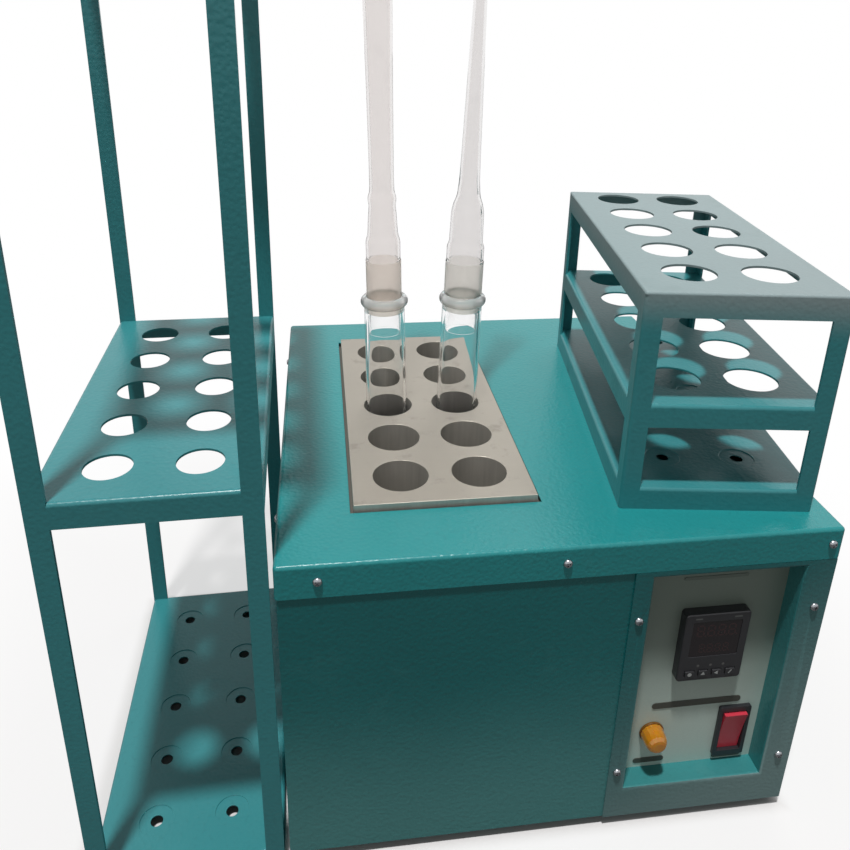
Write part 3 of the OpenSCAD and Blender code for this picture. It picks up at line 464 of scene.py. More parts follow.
def ground_glass(name, rgb, clear=0.8, rough=0.3):
    """Ground joint: frosted and slightly stained, so it lets light through but shows no picture."""
    finish = Finish(name)
    rings = finish.noise(900.0, 2.0, 0.5, finish.stretched(0.3, 0.3, 1.0))
    cloud = finish.noise(60.0, 4.0, 0.6)
    body = finish.blend(tone(rgb, 0.9), tone(rgb, 1.12), cloud)
    relief = finish.bump(rings, 0.02 * MM)
    return finish.shell(body, rough + rings * 0.15, relief, {"IOR": 1.25, "Transmission Weight": clear})


def finishes(scene):
    """Every finish of the object: what makes it and with what."""
    paint = scene.digester_paint
    metal = scene.digester_metal
    panel = scene.digester_panel
    clear = scene.digester_glass
    return {
        "teal_paint": (enamel, paint.teal, paint, paint.grain_depth),
        # The front panel and the tray take the cover's teal darkened as painted shade
        "dark_teal_paint": (
            enamel, paint.dark_teal, paint, paint.grain_depth,
            # Painted light: a lighter teal low on the front panel
            (paint.panel_light, 0.3, (0.0, 0.0, -1.0), -150 * MM, -20 * MM),
        ),
        "stand_paint": (enamel, paint.rack, paint, paint.rack_depth),
        "rack_paint": (
            enamel, paint.rack, paint, paint.rack_depth,
            # Painted greyish sheen on top of the tube rack
            (paint.rack_sheen, 0.46, (0.05, 0.0, 1.0), 354 * MM, 386 * MM),
        ),
        "frame_paint": (
            enamel, paint.frame, paint, paint.grain_depth,
            # Painted greyish sheen low on the right of the control frame
            (paint.frame_sheen, 0.7, (0.75, 0.0, -1.0), -80 * MM, 140 * MM),
        ),
        "recess_paint": (enamel, paint.recess, paint, paint.rack_depth),
        # Painted shade at the top of the fascia, painted light low down
        "fascia": (shade_and_light_plate, panel.fascia, panel.fascia_lit, 175 * MM, 60 * MM),
        "machined_aluminium": (milled, metal.block),
        "well_wall": (bored, metal.well),
        "mica": (satin, (0.42, 0.36, 0.27), 700.0, 0.6),
        # Fibre darkened to grey brown as painted shade, for the gap round the block where it shows
        "ceramic_fibre": (fibre, (0.15, 0.14, 0.12)),
        "zinc_steel": (plated, (0.62, 0.63, 0.66), 0.32),
        "black_plastic": (satin, (0.022, 0.022, 0.026), 2200.0, 0.38),
        "dark_window": (gloss_plastic, (0.012, 0.007, 0.010), 0.07),
        "light_plastic": (gloss_plastic, (0.12, 0.12, 0.118), 0.35),
        "marks": (satin, panel.marks, 1500.0, 0.5),
        "faint_marks": (satin, tone(panel.marks, 0.3), 1500.0, 0.5),
        "digits": (gloss_plastic, panel.digits, 0.3),
        "amber_lens": (amber, panel.lamp),
        "amber_ring": (gloss_plastic, tone(panel.lamp, 0.3), 0.35),
        "red_plastic": (gloss_plastic, panel.rocker, 0.22),
        # Worn print, toned from the fascia's colour with its painted shade
        "worn_legend": (satin, tone(panel.fascia, 0.72), 1600.0, 0.5),
        "legend": (satin, (0.062, 0.065, 0.052), 1600.0, 0.5),
        "white_plastic": (satin, (0.80, 0.79, 0.75), 1500.0, 0.5),
        "wire_cover": (satin, (0.55, 0.05, 0.04), 1500.0, 0.45),
        "contact_brass": (plated, (0.78, 0.60, 0.26), 0.25),
        "foot_rubber": (satin, (0.018, 0.018, 0.018), 1800.0, 0.75),
        "screw_steel": (plated, metal.screw, 0.2),
        "key_plastic": (satin, (0.020, 0.020, 0.023), 2000.0, 0.5),
        "clear_glass": (glass, clear.clear),
        "bead_glass": (ground_glass, clear.bead_glass, 0.66, 0.12),
        "drawn_left": (glass, clear.drawn_left, 0.05),
        "drawn_right": (glass, clear.drawn_right, 0.05),
        "ground_left": (ground_glass, clear.ground_left),
        "ground_right": (ground_glass, clear.ground_right),
    }


def material(name):
    """A material of the object, made with all the others the first time that one is asked for."""
    if not LOOKS:
        for finish, (kind, *given) in finishes(bpy.context.scene).items():
            LOOKS[finish] = kind(finish, *given)
    return LOOKS[name]


# ---- shapes ---------------------------------------------------------------------------------


def joined(node):
    """A bmesh of a CAD node, its loose triangles merged and its flat faces made whole."""
    bm = bmesh.new()
    bm.from_mesh(CAD_NODES[node].data)
    bmesh.ops.remove_doubles(bm, verts=bm.verts, dist=MERGE)
    bmesh.ops.dissolve_limit(bm, angle_limit=math.radians(0.5), verts=bm.verts, edges=bm.edges)
    return bm


def corners(verts):
    """Lowest and highest corner of some vertices."""
    low = Vector(min(v.co[axis] for v in verts) for axis in range(3))
    high = Vector(max(v.co[axis] for v in verts) for axis in range(3))
    return low, high


def sharp_edges(bm, angle=60):
    limit = math.radians(angle)
    return [e for e in bm.edges if e.is_manifold and e.calc_face_angle(0) > limit]


def round_edges(bm, edges, radius, segments=2, clamp=False, affect="EDGES"):
    """Rounds some edges of a mesh, or the corners of a flat one."""
    bmesh.ops.bevel(
        bm, geom=edges, offset=radius, offset_type="OFFSET", segments=segments, profile=0.5,
        affect=affect, material=-1, clamp_overlap=clamp,
    )


def folds(bm, free):
    """The edges along the box round a sheet piece, where it is folded, without those of its free side."""
    low, high = corners(bm.verts)
    sides = {axis + sign: ("xyz".index(axis), at) for axis in "xyz" for sign, at in (("-", low), ("+", high))}
    picked = []
    for edge in bm.edges:
        on = [
            side for side, (axis, level) in sides.items()
            if all(abs(v.co[axis] - level[axis]) < TOUCH for v in edge.verts)
        ]
        if len(on) > 1 and free not in on:
            picked.append(edge)
    return picked


def rounded_copy(node, name, finish, radius, segments=2, angle=60):
    """Makes a piece of a CAD node with its sharp edges rounded."""
    bm = joined(node)
    round_edges(bm, sharp_edges(bm, angle), radius, segments, clamp=True)
    add_piece(name, bm, [finish], [node])


def islands(bm):
    """The separate shells in a mesh, each as a list of vertices."""
    left = dict.fromkeys(bm.verts)
    found = []
    while left:
        shell = [left.popitem()[0]]
        for vert in shell:
            for edge in vert.link_edges:
                other = edge.other_vert(vert)
                if other in left:
                    left.pop(other)
                    shell.append(other)
        found.append(shell)
    return found


def shell_boxes(node):
    """Lowest and highest corner of each separate shell of a CAD node."""
    bm = joined(node)
    found = [corners(shell) for shell in islands(bm)]
    bm.free()
    return sorted(found, key=lambda box: tuple(round(part, 4) for part in box[0]))


def put(name, data):
    """Puts a mesh, a lamp or a camera into the scene."""
    made = bpy.data.objects.new(name, data)
    bpy.context.scene.collection.objects.link(made)
    return made


def made_mesh(name, bm):
    """Turns a bmesh into a mesh, and frees it."""
    mesh = bpy.data.meshes.new(name)
    bm.to_mesh(mesh)
    bm.free()
    return mesh


def add_piece(name, bm, finishes, stands_for=(), like=None, angle=50):
    """Makes an object of a bmesh, in the row frame, that rides with the CAD nodes it stands for."""
    node = like or stands_for[0]
    limit = math.radians(angle)
    for face in bm.faces:
        face.smooth = True
    for edge in bm.edges:
        edge.smooth = edge.is_manifold and edge.calc_face_angle(0) < limit
    mesh = made_mesh(name, bm)
    for finish in finishes:
        mesh.materials.append(material(finish))
    piece = put(name, mesh)
    normals = piece.modifiers.new("Weighted Normal", "WEIGHTED_NORMAL")
    normals.keep_sharp = True
    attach(piece, BODY[node])
    if stands_for:
        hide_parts(*stands_for)
    return piece


def dress(node, finish):
    """Gives a CAD node that stays its material."""
    slots = CAD_NODES[node].data.materials
    slots.clear()
    slots.append(material(finish))


def on_front(x, y, z):
    """A place on a face that looks to the front: its own Z points outwards and its own Y up."""
    return Matrix.Translation((x, y, z)) @ Matrix.Rotation(math.pi / 2, 4, "X")


def thicken(bm, thick):
    """Gives flat faces in the plane z = 0 a thickness."""
    grown = bmesh.ops.extrude_face_region(bm, geom=bm.faces[:], use_keep_orig=True)["geom"]
    moved = [v for v in grown if isinstance(v, bmesh.types.BMVert)]
    bmesh.ops.translate(bm, vec=(0, 0, thick), verts=moved)
    bmesh.ops.recalc_face_normals(bm, faces=bm.faces)


def slab(width, height, thick, corner=0.0, segments=5):
    """A flat plate with rounded corners, its back in the plane z = 0."""
    bm = bmesh.new()
    bmesh.ops.create_grid(bm, x_segments=1, y_segments=1, size=0.5)
    bmesh.ops.scale(bm, vec=(width, height, 1), verts=bm.verts)
    if corner:
        round_edges(bm, bm.verts[:], corner, segments, affect="VERTICES")
    thicken(bm, thick)
    return bm


def disc(radius, thick, segments=24):
    """A flat regular plate, its back in the plane z = 0."""
    bm = bmesh.new()
    bmesh.ops.create_circle(bm, cap_ends=True, radius=radius, segments=segments)
    thicken(bm, thick)
    return bm


def stamp(target, source, place):
    """Adds a bmesh to another one at a place, and frees it."""
    source.transform(place)
    mesh = made_mesh("stamp", source)
    target.from_mesh(mesh)
    bpy.data.meshes.remove(mesh)


def spun(line, steps, closed):
    """Turns a line of (radius, height) points once round Z."""
    bm = bmesh.new()
    verts = [bm.verts.new((radius, 0, height)) for radius, height in line]
    edges = [bm.edges.new(pair) for pair in zip(verts, verts[1:])]
    if closed:
        edges.append(bm.edges.new((verts[-1], verts[0])))
    bmesh.ops.spin(
        bm, geom=verts + edges, cent=(0, 0, 0), axis=(0, 0, 1), angle=2 * math.pi, steps=steps,
        use_merge=True,
    )
    bmesh.ops.remove_doubles(bm, verts=bm.verts, dist=MERGE)
    bmesh.ops.recalc_face_normals(bm, faces=bm.faces)
    return bm


def arc(centre, radius, start, end, steps):
    """Points of an arc in (radius, height), its angles in degrees."""
    angles = [math.radians(start + (end - start) * k / steps) for k in range(steps + 1)]
    return [(centre[0] + radius * math.cos(a), centre[1] + radius * math.sin(a)) for a in angles]


def softened(line, reach, steps=4):
    """A line whose corners are turned into short curves that start at most reach before them."""
    made = [line[0]]
    for before, here, after in zip(line, line[1:], line[2:]):
        here = Vector(here)
        back = Vector(before) - here
        ahead = Vector(after) - here
        bend = min(reach, back.length * 0.45, ahead.length * 0.45)
        start = here + back.normalized() * bend
        end = here + ahead.normalized() * bend
        for k in range(steps + 1):
            t = k / steps
            made.append(tuple(start * (1 - t) ** 2 + here * 2 * t * (1 - t) + end * t**2))
    made.append(line[-1])
    return made


def glass_axis(node, joint):
    """The place of a glass piece: its own Z runs up its axis from the middle of its topmost ring."""
    direction = Vector(JOINT[joint]["axis"]).normalized()
    points = [v.co for v in CAD_NODES[node].data.vertices]
    top = max(p.dot(direction) for p in points)
    rim = [p for p in points if p.dot(direction) > top - TOUCH]
    middle = sum(rim, Vector()) / len(rim)
    middle += direction * (top - middle.dot(direction))
    return Matrix.Translation(middle) @ direction.to_track_quat("Z", "Y").to_matrix().to_4x4()


# ---- operators ------------------------------------------------------------------------------


class DIGESTER_OT_case(bpy.types.Operator):
    """Makes the folded sheet pieces of the case: tray, shell, front panel and cover"""

    bl_idname = "digester.case"
    bl_label = "Case"

    def execute(self, context):
        paint = context.scene.digester_paint
        free_side = {"base_tray": "z+", "body_shell": "z-", "top_cover": "z-", "front_panel": ""}
        for node, free in free_side.items():
            bm = joined(node)
            bends = folds(bm, free) if free else []
            if node == "body_shell":
                bends = [e for e in bends if abs(e.verts[0].co.z - e.verts[1].co.z) > 50 * MM]
                # Left whole, its top face with the block's opening in it would tear at the folds
                tops = [f for f in bm.faces if abs(f.normal.z) > 0.9 and len(f.verts) > 4]
                bmesh.ops.triangulate(bm, faces=tops, ngon_method="BEAUTY")
            if bends:
                round_edges(bm, bends, paint.bend, 5)
            round_edges(bm, sharp_edges(bm), paint.edge, 2, clamp=True)
            add_piece(node + "_sheet", bm, [SLOT[node]], [node])
        return {"FINISHED"}


class DIGESTER_OT_control_frame(bpy.types.Operator):
    """Makes the screwed control frame with its recess, and the dark legend strips on the fascia"""

    bl_idname = "digester.control_frame"
    bl_label = "Control frame"

    def within(self, spot, low, high, margin):
        """Whether a place is further than a margin from the frame's outer sides."""
        return all(low[axis] + margin < spot[axis] < high[axis] - margin for axis in (0, 2))

    def execute(self, context):
        paint = context.scene.digester_paint
        bm = joined("control_frame")
        low, high = corners(bm.verts)
        mouth = []
        for edge in bm.edges:
            middle = (edge.verts[0].co + edge.verts[1].co) / 2
            front = all(v.co.y < low.y + TOUCH for v in edge.verts)
            if front and edge.calc_length() > 20 * MM and self.within(middle, low, high, 2 * MM):
                mouth.append(edge)
        round_edges(bm, mouth, paint.bend * 0.85, 5)
        round_edges(bm, sharp_edges(bm), paint.edge, 2, clamp=True)
        for face in bm.faces:
            if abs(face.normal.y) < 0.7 and self.within(face.calc_center_median(), low, high, 3 * MM):
                face.material_index = 1
        add_piece("control_frame_sheet", bm, ["frame_paint", "recess_paint"], ["control_frame"])

        worn_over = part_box("controller_housing")[1].z
        strips = bmesh.new()
        for low, high in shell_boxes("legend_strips"):
            middle = (low + high) / 2
            width = high.x - low.x
            height = high.z - low.z
            pill = slab(width, height, high.y - low.y, height * 0.48, 6)
            round_edges(pill, sharp_edges(pill), 0.1 * MM, 2)
            for face in pill.faces:
                face.material_index = int(middle.z > worn_over)
            stamp(strips, pill, on_front(middle.x, high.y, middle.z))
        add_piece("legend_strip_pills", strips, ["legend", "worn_legend"], ["legend_strips"])
        return {"FINISHED"}


class DIGESTER_OT_heating_block(bpy.types.Operator):
    """Makes the heating block with chamfered wells, the walls and sides darker than its milled top: oxide in the
    wells, and painted shade on the sides in the gap round the block
    """

    bl_idname = "digester.heating_block"
    bl_label = "Heating block"

    def execute(self, context):
        metal = context.scene.digester_metal
        bm = joined("heating_block")
        low, high = corners(bm.verts)
        round_edges(bm, sharp_edges(bm), metal.chamfer, 2, clamp=True)
        for face in bm.faces:
            middle = face.calc_center_median()
            # Walls of the wells and the block's sides take the darker metal; on the sides it is painted shade
            if low.z + 2 * MM < middle.z < high.z - metal.chamfer * 1.5:
                face.material_index = 1
        add_piece("heating_block_bored", bm, ["machined_aluminium", "well_wall"], ["heating_block"])
        return {"FINISHED"}


class DIGESTER_OT_inside(bpy.types.Operator):
    """Gives the parts that keep their CAD mesh their materials"""

    bl_idname = "digester.inside"
    bl_label = "Inner parts"

    def execute(self, context):
        for node, finish in PLAIN_NODES.items():
            dress(node, finish)
        return {"FINISHED"}


class DIGESTER_OT_controller(bpy.types.Operator):
    """Makes the temperature controller: housing, display window with its unlit digits, keys and marks"""

    bl_idname = "digester.controller"
    bl_label = "Controller"

    def on_rim(self, spot, low, high):
        """Whether a place is on the housing's front, at its edge or in one of its rounded corners."""
        near, far = sorted(min(spot[axis] - low[axis], high[axis] - spot[axis]) for axis in (0, 2))
        return spot.y < low.y + TOUCH and (near < 0.9 * MM or far < 2.6 * MM)

    def digit(self, target, centre, height, face):
        """One unlit seven segment digit and its point."""
        width = height * 0.52
        bar = height * 0.13
        thick = 0.03 * MM
        spots = [
            (0, height / 2, True), (0, 0, True), (0, -height / 2, True),
            (-width / 2, height / 4, False), (width / 2, height / 4, False),
            (-width / 2, -height / 4, False), (width / 2, -height / 4, False),
        ]
        for x, z, level in spots:
            long = (width if level else height / 2) - bar * 0.75
            size = (long, bar) if level else (bar, long)
            segment = slab(*size, thick, bar * 0.45, 1)
            stamp(target, segment, on_front(centre[0] + x, face, centre[1] + z))
        point = disc(bar * 0.6, thick, 12)
        stamp(target, point, on_front(centre[0] + width * 0.82, face, centre[1] - height / 2))

    def execute(self, context):
        panel = context.scene.digester_panel
        bm = joined("controller_housing")
        low, high = corners(bm.verts)
        rim = [e for e in sharp_edges(bm) if all(self.on_rim(v.co, low, high) for v in e.verts)]
        round_edges(bm, rim, panel.housing_edge, 4)
        round_edges(bm, sharp_edges(bm), 0.2 * MM, 2, clamp=True)
        add_piece("controller_case", bm, ["black_plastic"], ["controller_housing"])

        low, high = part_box("display_window")
        face = low.y + 0.35 * MM
        window = slab(high.x - low.x, high.z - low.z, high.y - face, 1.0 * MM)
        round_edges(window, sharp_edges(window), 0.15 * MM, 2)
        window.transform(on_front((low.x + high.x) / 2, high.y, (low.z + high.z) / 2))
        add_piece("display_pane", window, ["dark_window"], ["display_window"])

        digits = bmesh.new()
        middle = (low + high) / 2
        for row, height in ((0.23, 8.2 * MM), (-0.27, 6.2 * MM)):
            for k in range(4):
                centre = (middle.x + (k - 1.5) * height * 0.86, middle.z + row * (high.z - low.z))
                self.digit(digits, centre, height, face)
        add_piece("display_digits", digits, ["digits"], like="display_window")

        marks = bmesh.new()
        case_low, case_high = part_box("controller_housing")
        over = (case_high.z + high.z) / 2 - 0.3 * MM
        for x, wide in ((low.x + 3.2 * MM, 4.6 * MM), (high.x - 3.4 * MM, 5.2 * MM)):
            stamp(marks, slab(wide, 1.1 * MM, 0.04 * MM, 0.4 * MM, 2), on_front(x, case_low.y, over))
        add_piece("display_marks", marks, ["faint_marks"], like="controller_housing")

        for k in range(4):
            self.key(k + 1)
        return {"FINISHED"}

    def key(self, k):
        """One key with its printed sign: a ring, an arrow up, an arrow to the left or a stroke."""
        node = f"controller_key_{k}"
        rounded_copy(node, node + "_cap", "key_plastic", 0.35 * MM, 3)
        low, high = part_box(node)
        sign = bmesh.new()
        place = on_front((low.x + high.x) / 2, low.y, (low.z + high.z) / 2)
        if k == 1:
            stamp(sign, disc(1.45 * MM, PRINT), place)
        elif k == 4:
            stroke = slab(0.7 * MM, 3.3 * MM, PRINT, 0.2 * MM, 2)
            stamp(sign, stroke, place @ Matrix.Rotation(math.radians(-35), 4, "Z"))
        else:
            turn = math.radians(0 if k == 2 else 90)
            stamp(sign, disc(1.7 * MM, PRINT, 3), place @ Matrix.Rotation(turn, 4, "Z"))
        add_piece(node + "_sign", sign, ["marks"], like=node)


class DIGESTER_OT_lamp(bpy.types.Operator):
    """Makes the pilot lamp: a faceted amber lens on a darker ring"""

    bl_idname = "digester.lamp"
    bl_label = "Lamp"

    def execute(self, context):
        panel = context.scene.digester_panel
        low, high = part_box("lamp_lens")
        radius = (high.x - low.x) / 2
        long = high.y - low.y
        foot = on_front((low.x + high.x) / 2, high.y, (low.z + high.z) / 2)
        line = [
            (0, 0), (radius, 0), (radius, long * 0.1), (radius * 0.97, long * 0.14),
            (radius * 0.95, long * 0.55), (radius * 0.86, long * 0.8), (radius * 0.66, long * 0.95),
            (radius * 0.42, long), (0, long),
        ]
        lens = spun(line, panel.facets, False)
        round_edges(lens, sharp_edges(lens, 12), 0.22 * MM, 2, clamp=True)
        lens.transform(foot)
        add_piece("lamp_lens_faceted", lens, ["amber_lens"], ["lamp_lens"], angle=18)

        rounded_copy("lamp_body", "lamp_ring", "amber_ring", 0.3 * MM)
        return {"FINISHED"}


class DIGESTER_OT_switch(bpy.types.Operator):
    """Makes the mains switch: black housing and dished red rocker"""

    bl_idname = "digester.switch"
    bl_label = "Switch"

    def execute(self, context):
        rounded_copy("switch_housing", "switch_case", "black_plastic", 0.35 * MM)

        rocker = joined("switch_rocker")
        low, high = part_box("switch_rocker")
        middle = (low + high) / 2
        waist = [
            e for e in rocker.edges
            if abs(e.verts[0].co.x - e.verts[1].co.x) > 10 * MM
            and abs((e.verts[0].co.z + e.verts[1].co.z) / 2 - middle.z) < 3 * MM
            and (e.verts[0].co.y + e.verts[1].co.y) / 2 < middle.y
        ]
        round_edges(rocker, waist, 11 * MM, 8)
        round_edges(rocker, sharp_edges(rocker), 0.5 * MM, 3, clamp=True)
        add_piece("rocker_cap", rocker, ["red_plastic"], ["switch_rocker"])
        return {"FINISHED"}


class DIGESTER_OT_screws(bpy.types.Operator):
    """Makes the domed screws with cross recesses that hold the cover, the control frame and the inlet"""

    bl_idname = "digester.screws"
    bl_label = "Screws"

    high = 2.2 * MM

    def screw(self, head):
        """One screw whose head, of a given radius, stands on the plane z = 0.

        The cross is cut into the dome above its rim, down to bottom, with arms twice half wide.
        """
        shank = 1.6 * MM
        line = [(0, self.high), (head * 0.39, 2.08 * MM), (head * 0.7, 1.7 * MM), (head * 0.9, 1.1 * MM)]
        line += [(head, 0.45 * MM), (head, 0), (shank, 0), (shank, -8 * MM), (0, -8 * MM)]
        bm = spun(line, 28, False)
        arm = head * 0.54
        half = 0.42 * MM
        rim = 0.9 * MM
        bottom = 0.95 * MM
        for normal in ((1, 0, 0), (0, 1, 0)):
            for level in (-arm, -half, half, arm):
                top = [v for v in bm.verts if v.co.z > rim]
                faces = dict.fromkeys(f for v in top for f in v.link_faces)
                edges = dict.fromkeys(e for f in faces for e in f.edges)
                bmesh.ops.bisect_plane(
                    bm, geom=[*top, *edges, *faces], plane_co=[level * part for part in normal],
                    plane_no=normal, dist=0.001 * MM,
                )
        cross = []
        for face in bm.faces:
            spot = face.calc_center_median()
            small, large = sorted((abs(spot.x), abs(spot.y)))
            if spot.z > rim and small < half and large < arm:
                cross.append(face)
        grown = bmesh.ops.extrude_face_region(bm, geom=cross)["geom"]
        for vert in grown:
            if isinstance(vert, bmesh.types.BMVert):
                vert.co.z = bottom
        bmesh.ops.delete(bm, geom=cross, context="FACES")
        return bm

    def execute(self, context):
        low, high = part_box("top_cover")
        centre = (low + high) / 2
        first, last = shell_boxes("panel_screws")[0]
        one = made_mesh("screw", self.screw((last.z - first.z) / 2))
        for node in ("cover_screws", "panel_screws", "inlet_screws"):
            bm = bmesh.new()
            for turn, (low, high) in enumerate(shell_boxes(node)):
                size = high - low
                axis = max(range(3), key=lambda a: size[a])
                middle = (low + high) / 2
                out = Vector((0, 0, 0))
                out[axis] = math.copysign(1, middle[axis] - centre[axis])
                seat = middle.copy()
                seat[axis] = (high[axis] if out[axis] > 0 else low[axis]) - out[axis] * self.high
                place = Matrix.Translation(seat) @ out.to_track_quat("Z", "Y").to_matrix().to_4x4()
                copy = bmesh.new()
                copy.from_mesh(one)
                stamp(bm, copy, place @ Matrix.Rotation(0.6 + turn * 0.83, 4, "Z"))
            add_piece(node + "_domed", bm, ["screw_steel"], [node], angle=35)
        bpy.data.meshes.remove(one)
        return {"FINISHED"}


class DIGESTER_OT_supply(bpy.types.Operator):
    """Makes the supply inlet and the feet"""

    bl_idname = "digester.supply"
    bl_label = "Supply inlet and feet"

    def execute(self, context):
        rounded_copy("mains_inlet", "inlet_moulding", "black_plastic", 0.4 * MM)
        rounded_copy("rubber_feet", "feet_moulded", "foot_rubber", 0.7 * MM, 3, 50)
        return {"FINISHED"}


class DIGESTER_OT_vessels(bpy.types.Operator):
    """Makes the two digestion vessels with their beaded mouths and ground sockets"""

    bl_idname = "digester.vessels"
    bl_label = "Digestion vessels"

    def execute(self, context):
        look = context.scene.digester_glass
        radius = 15 * MM
        long = 178 * MM
        wall = look.wall
        mouth = 12.7 * MM
        neck = mouth + wall
        for k, ground in ((1, "ground_left"), (2, "ground_right")):
            node = f"digestion_vessel_{k}"
            place = glass_axis(node, f"vessel_{k}_lift")
            bead = look.bead_height / 2
            bead_middle = look.bead / 2 - bead
            foot = math.degrees(-math.acos((neck - bead_middle) / bead))
            line = arc((0, radius - long), radius, -90, 0, 16)
            # Outside, it narrows to its neck between 60 and 14 mm under the mouth
            line += [(radius, -60 * MM), (neck, -14 * MM)]
            line += arc((bead_middle, -bead), bead, foot, 90, 14)
            line += [(mouth + 0.35 * MM, -0.1 * MM), (mouth, -0.6 * MM)]
            line += softened([
                (mouth - 0.2 * MM, -4 * MM), (12.1 * MM, -look.frost), (12.05 * MM, -look.frost - 0.5 * MM),
                (12.2 * MM, -30 * MM), (radius - wall, -62 * MM), (radius - wall, -70 * MM),
            ], 5 * MM)
            line += arc((0, radius - long), radius - wall, 0, -90, 16)
            bm = spun(line, look.steps, False)
            for face in bm.faces:
                spot = face.calc_center_median()
                across = math.hypot(spot.x, spot.y)
                if -look.frost < spot.z < -1 * MM and across < mouth + 0.2 * MM:
                    face.material_index = 1
                elif spot.z > -look.bead_height and across > mouth:
                    face.material_index = 2
            bm.transform(place)
            add_piece(f"vessel_{k}_blown", bm, ["clear_glass", ground, "bead_glass"], [node])
        return {"FINISHED"}


class DIGESTER_OT_condensers(bpy.types.Operator):
    """Makes the two air condensers, each drawn out over a ground joint"""

    bl_idname = "digester.condensers"
    bl_label = "Air condensers"

    def execute(self, context):
        look = context.scene.digester_glass
        for k, side in ((1, "left"), (2, "right")):
            node = f"air_condenser_{k}"
            place = glass_axis(f"digestion_vessel_{k}", f"condenser_{k}_lift")
            outer = [(radius * MM, height * MM) for radius, height in CONDENSER_LINES[k]]
            inner = [(radius - look.wall, height) for radius, height in outer]
            tip = [(outer[0][0] - 0.3 * MM, outer[0][1] - 0.2 * MM)]
            inner[0] = (outer[0][0] - 0.6 * MM, outer[0][1])
            bm = spun(softened(outer, 4 * MM) + softened(inner[::-1], 4 * MM) + tip, look.steps, True)
            frost_top = outer[4][1]
            for face in bm.faces:
                spot = face.calc_center_median()
                out = face.normal.x * spot.x + face.normal.y * spot.y
                if spot.z < -look.frost:
                    face.material_index = 2
                elif out > 0 and spot.z < frost_top:
                    face.material_index = 1
            bm.transform(place)
            finishes = ["drawn_" + side, "ground_" + side, "clear_glass"]
            add_piece(f"condenser_{k}_drawn", bm, finishes, [node])
        return {"FINISHED"}


class Rack:
    """What the tube rack and the condenser stand share: sheets with folded lips and welded uprights."""

    def fold_sheets(self, context, family, turn, finish):
        paint = context.scene.digester_paint
        level = Matrix.Rotation(turn, 4, "Z")
        for node in [n for n in CAD_NODES if n.startswith(family)]:
            bm = joined(node)
            bm.transform(level.inverted())
            low, high = corners(bm.verts)
            if "post" in node:
                out = [max((low[a], high[a]), key=lambda at: self.reach(node, a, at)) for a in (0, 1)]
                bends = [
                    e for e in bm.edges
                    if all(abs(v.co[a] - out[a]) < TOUCH for v in e.verts for a in (0, 1))
                ]
            else:
                bends = folds(bm, "z-")
            if not node.startswith("stand_post"):
                round_edges(bm, bends, paint.top_bend if "_top_" in node else paint.rack_bend, 5)
            holes = [e for e in sharp_edges(bm) if self.round_hole(e)]
            round_edges(bm, holes, paint.edge * 1.3, 2, clamp=True)
            bm.transform(level)
            add_piece(node + "_sheet", bm, [finish], [node])

    def reach(self, node, axis, at):
        """How far out a side of a post is."""
        side = ("left", "right") if axis == 0 else ("front", "back")
        return -at if side[0] in node else at

    def round_hole(self, edge):
        """Whether an edge is a short piece of the rim of a hole."""
        return edge.calc_length() < 3.2 * MM and abs(edge.verts[0].co.z - edge.verts[1].co.z) < TOUCH


class DIGESTER_OT_tube_rack(Rack, bpy.types.Operator):
    """Makes the tube rack that stands on the cover"""

    bl_idname = "digester.tube_rack"
    bl_label = "Tube rack"

    def execute(self, context):
        self.fold_sheets(context, "rack_", math.radians(-7.7), "rack_paint")
        return {"FINISHED"}


class DIGESTER_OT_condenser_stand(Rack, bpy.types.Operator):
    """Makes the tall stand for the condensers"""

    bl_idname = "digester.condenser_stand"
    bl_label = "Condenser stand"

    def execute(self, context):
        self.fold_sheets(context, "stand_", math.radians(1.5), "stand_paint")
        return {"FINISHED"}


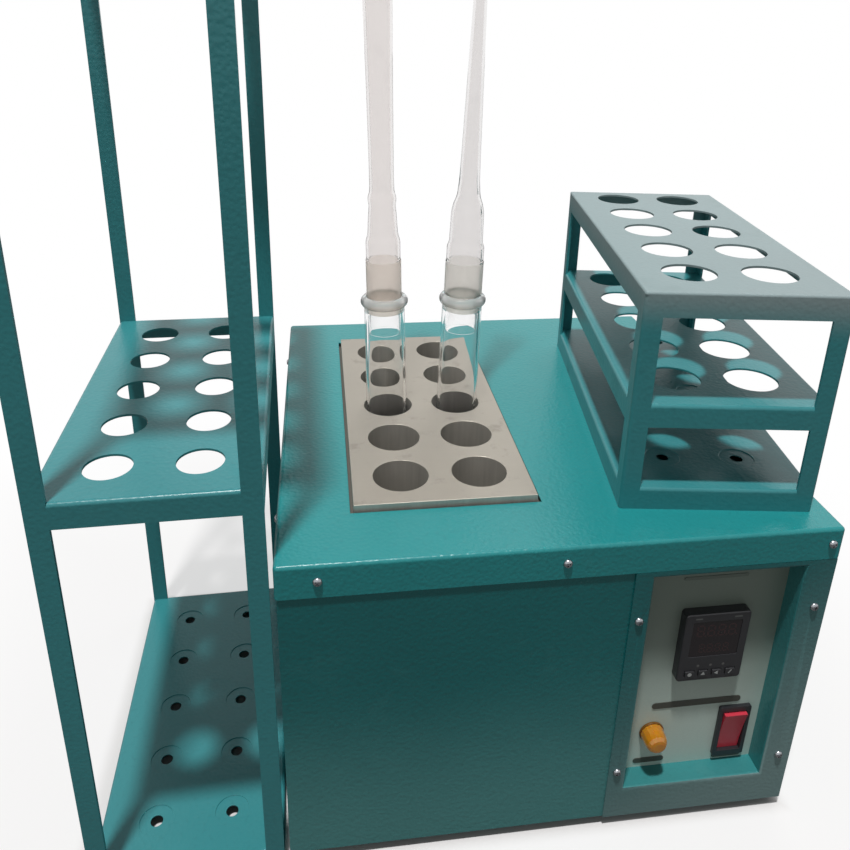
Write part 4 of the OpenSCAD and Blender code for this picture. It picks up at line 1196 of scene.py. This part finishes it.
class DIGESTER_OT_stage(bpy.types.Operator):
    """Makes the pale floor, the soft lamps, the even light round the object and the camera"""

    bl_idname = "digester.stage"
    bl_label = "Stage"

    def floor(self, stage):
        finish = Finish("floor")
        plain = finish.add("BsdfDiffuse", {}, {"Color": (0.24, 0.24, 0.235, 1.0)})
        pale = finish.add("BsdfDiffuse", {}, {"Color": (*stage.floor, 1.0)})
        glow = finish.add("Emission", {}, {"Color": (1.0, 1.0, 1.0, 1.0), "Strength": 1.0})
        across = finish.add("SeparateXYZ", {}, {0: finish.place})
        back = finish.other(across, "Y")
        outside = None
        for node in ("stand_bottom_tray", "base_tray"):
            low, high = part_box(node)
            middle = (low + high) / 2
            half = (high - low) / 2
            spans = [
                across.maths("ABSOLUTE", at - middle[axis], 0.0) - half[axis]
                for axis, at in ((0, across), (1, back))
            ]
            away = across.maths("MAXIMUM", *spans)
            outside = across.maths("MINIMUM", outside, away) if outside else away
        glowing = finish.band(outside, 0.0, 12 * MM) * 0.64 + finish.band(outside, 40 * MM, 300 * MM) * 0.36
        lit = finish.add("MixShader", {}, {0: glowing, 1: pale, 2: glow})
        mixed = finish.add("MixShader", {}, {0: finish.seen(), 1: plain, 2: lit})
        finish.add("OutputMaterial", {}, {"Surface": mixed})
        bm = bmesh.new()
        bmesh.ops.create_grid(bm, x_segments=1, y_segments=1, size=8)
        mesh = made_mesh("floor", bm)
        mesh.materials.append(finish.material)
        floor = put("floor", mesh)

    def lamp(self, name, place, target, size, energy):
        light = bpy.data.lights.new(name, "AREA")
        light.shape = "DISK"
        light.size = size
        light.energy = energy
        lamp = put(name, light)
        lamp.location = place
        lamp.rotation_euler = (Vector(target) - Vector(place)).to_track_quat("-Z", "Y").to_euler()

    def world(self, stage):
        """White where it is seen or mirrored, and a plain even light on everything else."""
        world = bpy.data.worlds.new("studio")
        sky = Nodes(world)
        bright = sky.seen("Is Glossy Ray") * (1.0 - stage.ambient) + stage.ambient
        light = sky.add("Background", {}, {"Color": (1.0, 1.0, 1.0, 1.0), "Strength": bright})
        sky.add("OutputWorld", {}, {"Surface": light})
        bpy.context.scene.world = world

    def camera(self, stage):
        camera = bpy.data.cameras.new("camera")
        camera.lens = stage.lens
        camera.sensor_width = 36.0
        camera.shift_x, camera.shift_y = stage.shift
        camera.clip_start = 0.02
        camera.clip_end = 50.0
        eye = put("camera", camera)
        yaw, pitch, roll = stage.turn
        turn = Matrix.Rotation(-yaw, 4, "Z") @ Matrix.Rotation(math.pi / 2 - pitch, 4, "X")
        eye.matrix_world = Matrix.Translation(stage.eye) @ turn @ Matrix.Rotation(roll, 4, "Z")
        bpy.context.scene.camera = eye

    def execute(self, context):
        stage = context.scene.digester_stage
        context.scene.view_settings.view_transform = "Standard"
        self.floor(stage)
        self.world(stage)
        for name, (place, target, size, setting) in LAMPS.items():
            self.lamp(name, place, target, size, getattr(stage, setting))
        self.camera(stage)
        return {"FINISHED"}


class DIGESTER_PT_sidebar(bpy.types.Panel):
    """Lists the steps that dress the block digester"""

    bl_idname = "DIGESTER_PT_sidebar"
    bl_label = "Block Digester"
    bl_space_type = "VIEW_3D"
    bl_region_type = "UI"
    bl_category = "Digester"

    def draw(self, context):
        layout = self.layout
        for group in GROUPS:
            box = layout.box()
            box.label(text=group.__doc__)
            settings = getattr(context.scene, GROUPS[group])
            for name in group.__annotations__:
                box.prop(settings, name)
        for step in STEPS:
            layout.operator(step.bl_idname)


GROUPS = {
    DigesterPaint: "digester_paint",
    DigesterMetal: "digester_metal",
    DigesterPanel: "digester_panel",
    DigesterGlass: "digester_glass",
    DigesterStage: "digester_stage",
}

STEPS = (
    DIGESTER_OT_case,
    DIGESTER_OT_control_frame,
    DIGESTER_OT_heating_block,
    DIGESTER_OT_inside,
    DIGESTER_OT_controller,
    DIGESTER_OT_lamp,
    DIGESTER_OT_switch,
    DIGESTER_OT_screws,
    DIGESTER_OT_supply,
    DIGESTER_OT_vessels,
    DIGESTER_OT_condensers,
    DIGESTER_OT_tube_rack,
    DIGESTER_OT_condenser_stand,
    DIGESTER_OT_stage,
)


CLASSES = (*GROUPS, *STEPS, DIGESTER_PT_sidebar)


def register():
    for kind in CLASSES:
        bpy.utils.register_class(kind)
    for group, name in GROUPS.items():
        setattr(bpy.types.Scene, name, bpy.props.PointerProperty(type=group))


def unregister():
    for name in GROUPS.values():
        delattr(bpy.types.Scene, name)
    for kind in reversed(CLASSES):
        bpy.utils.unregister_class(kind)


def main():
    register()
    for step in STEPS:
        getattr(bpy.ops.digester, step.bl_idname.split(".")[1])()


if __name__ == "__main__":
    main()
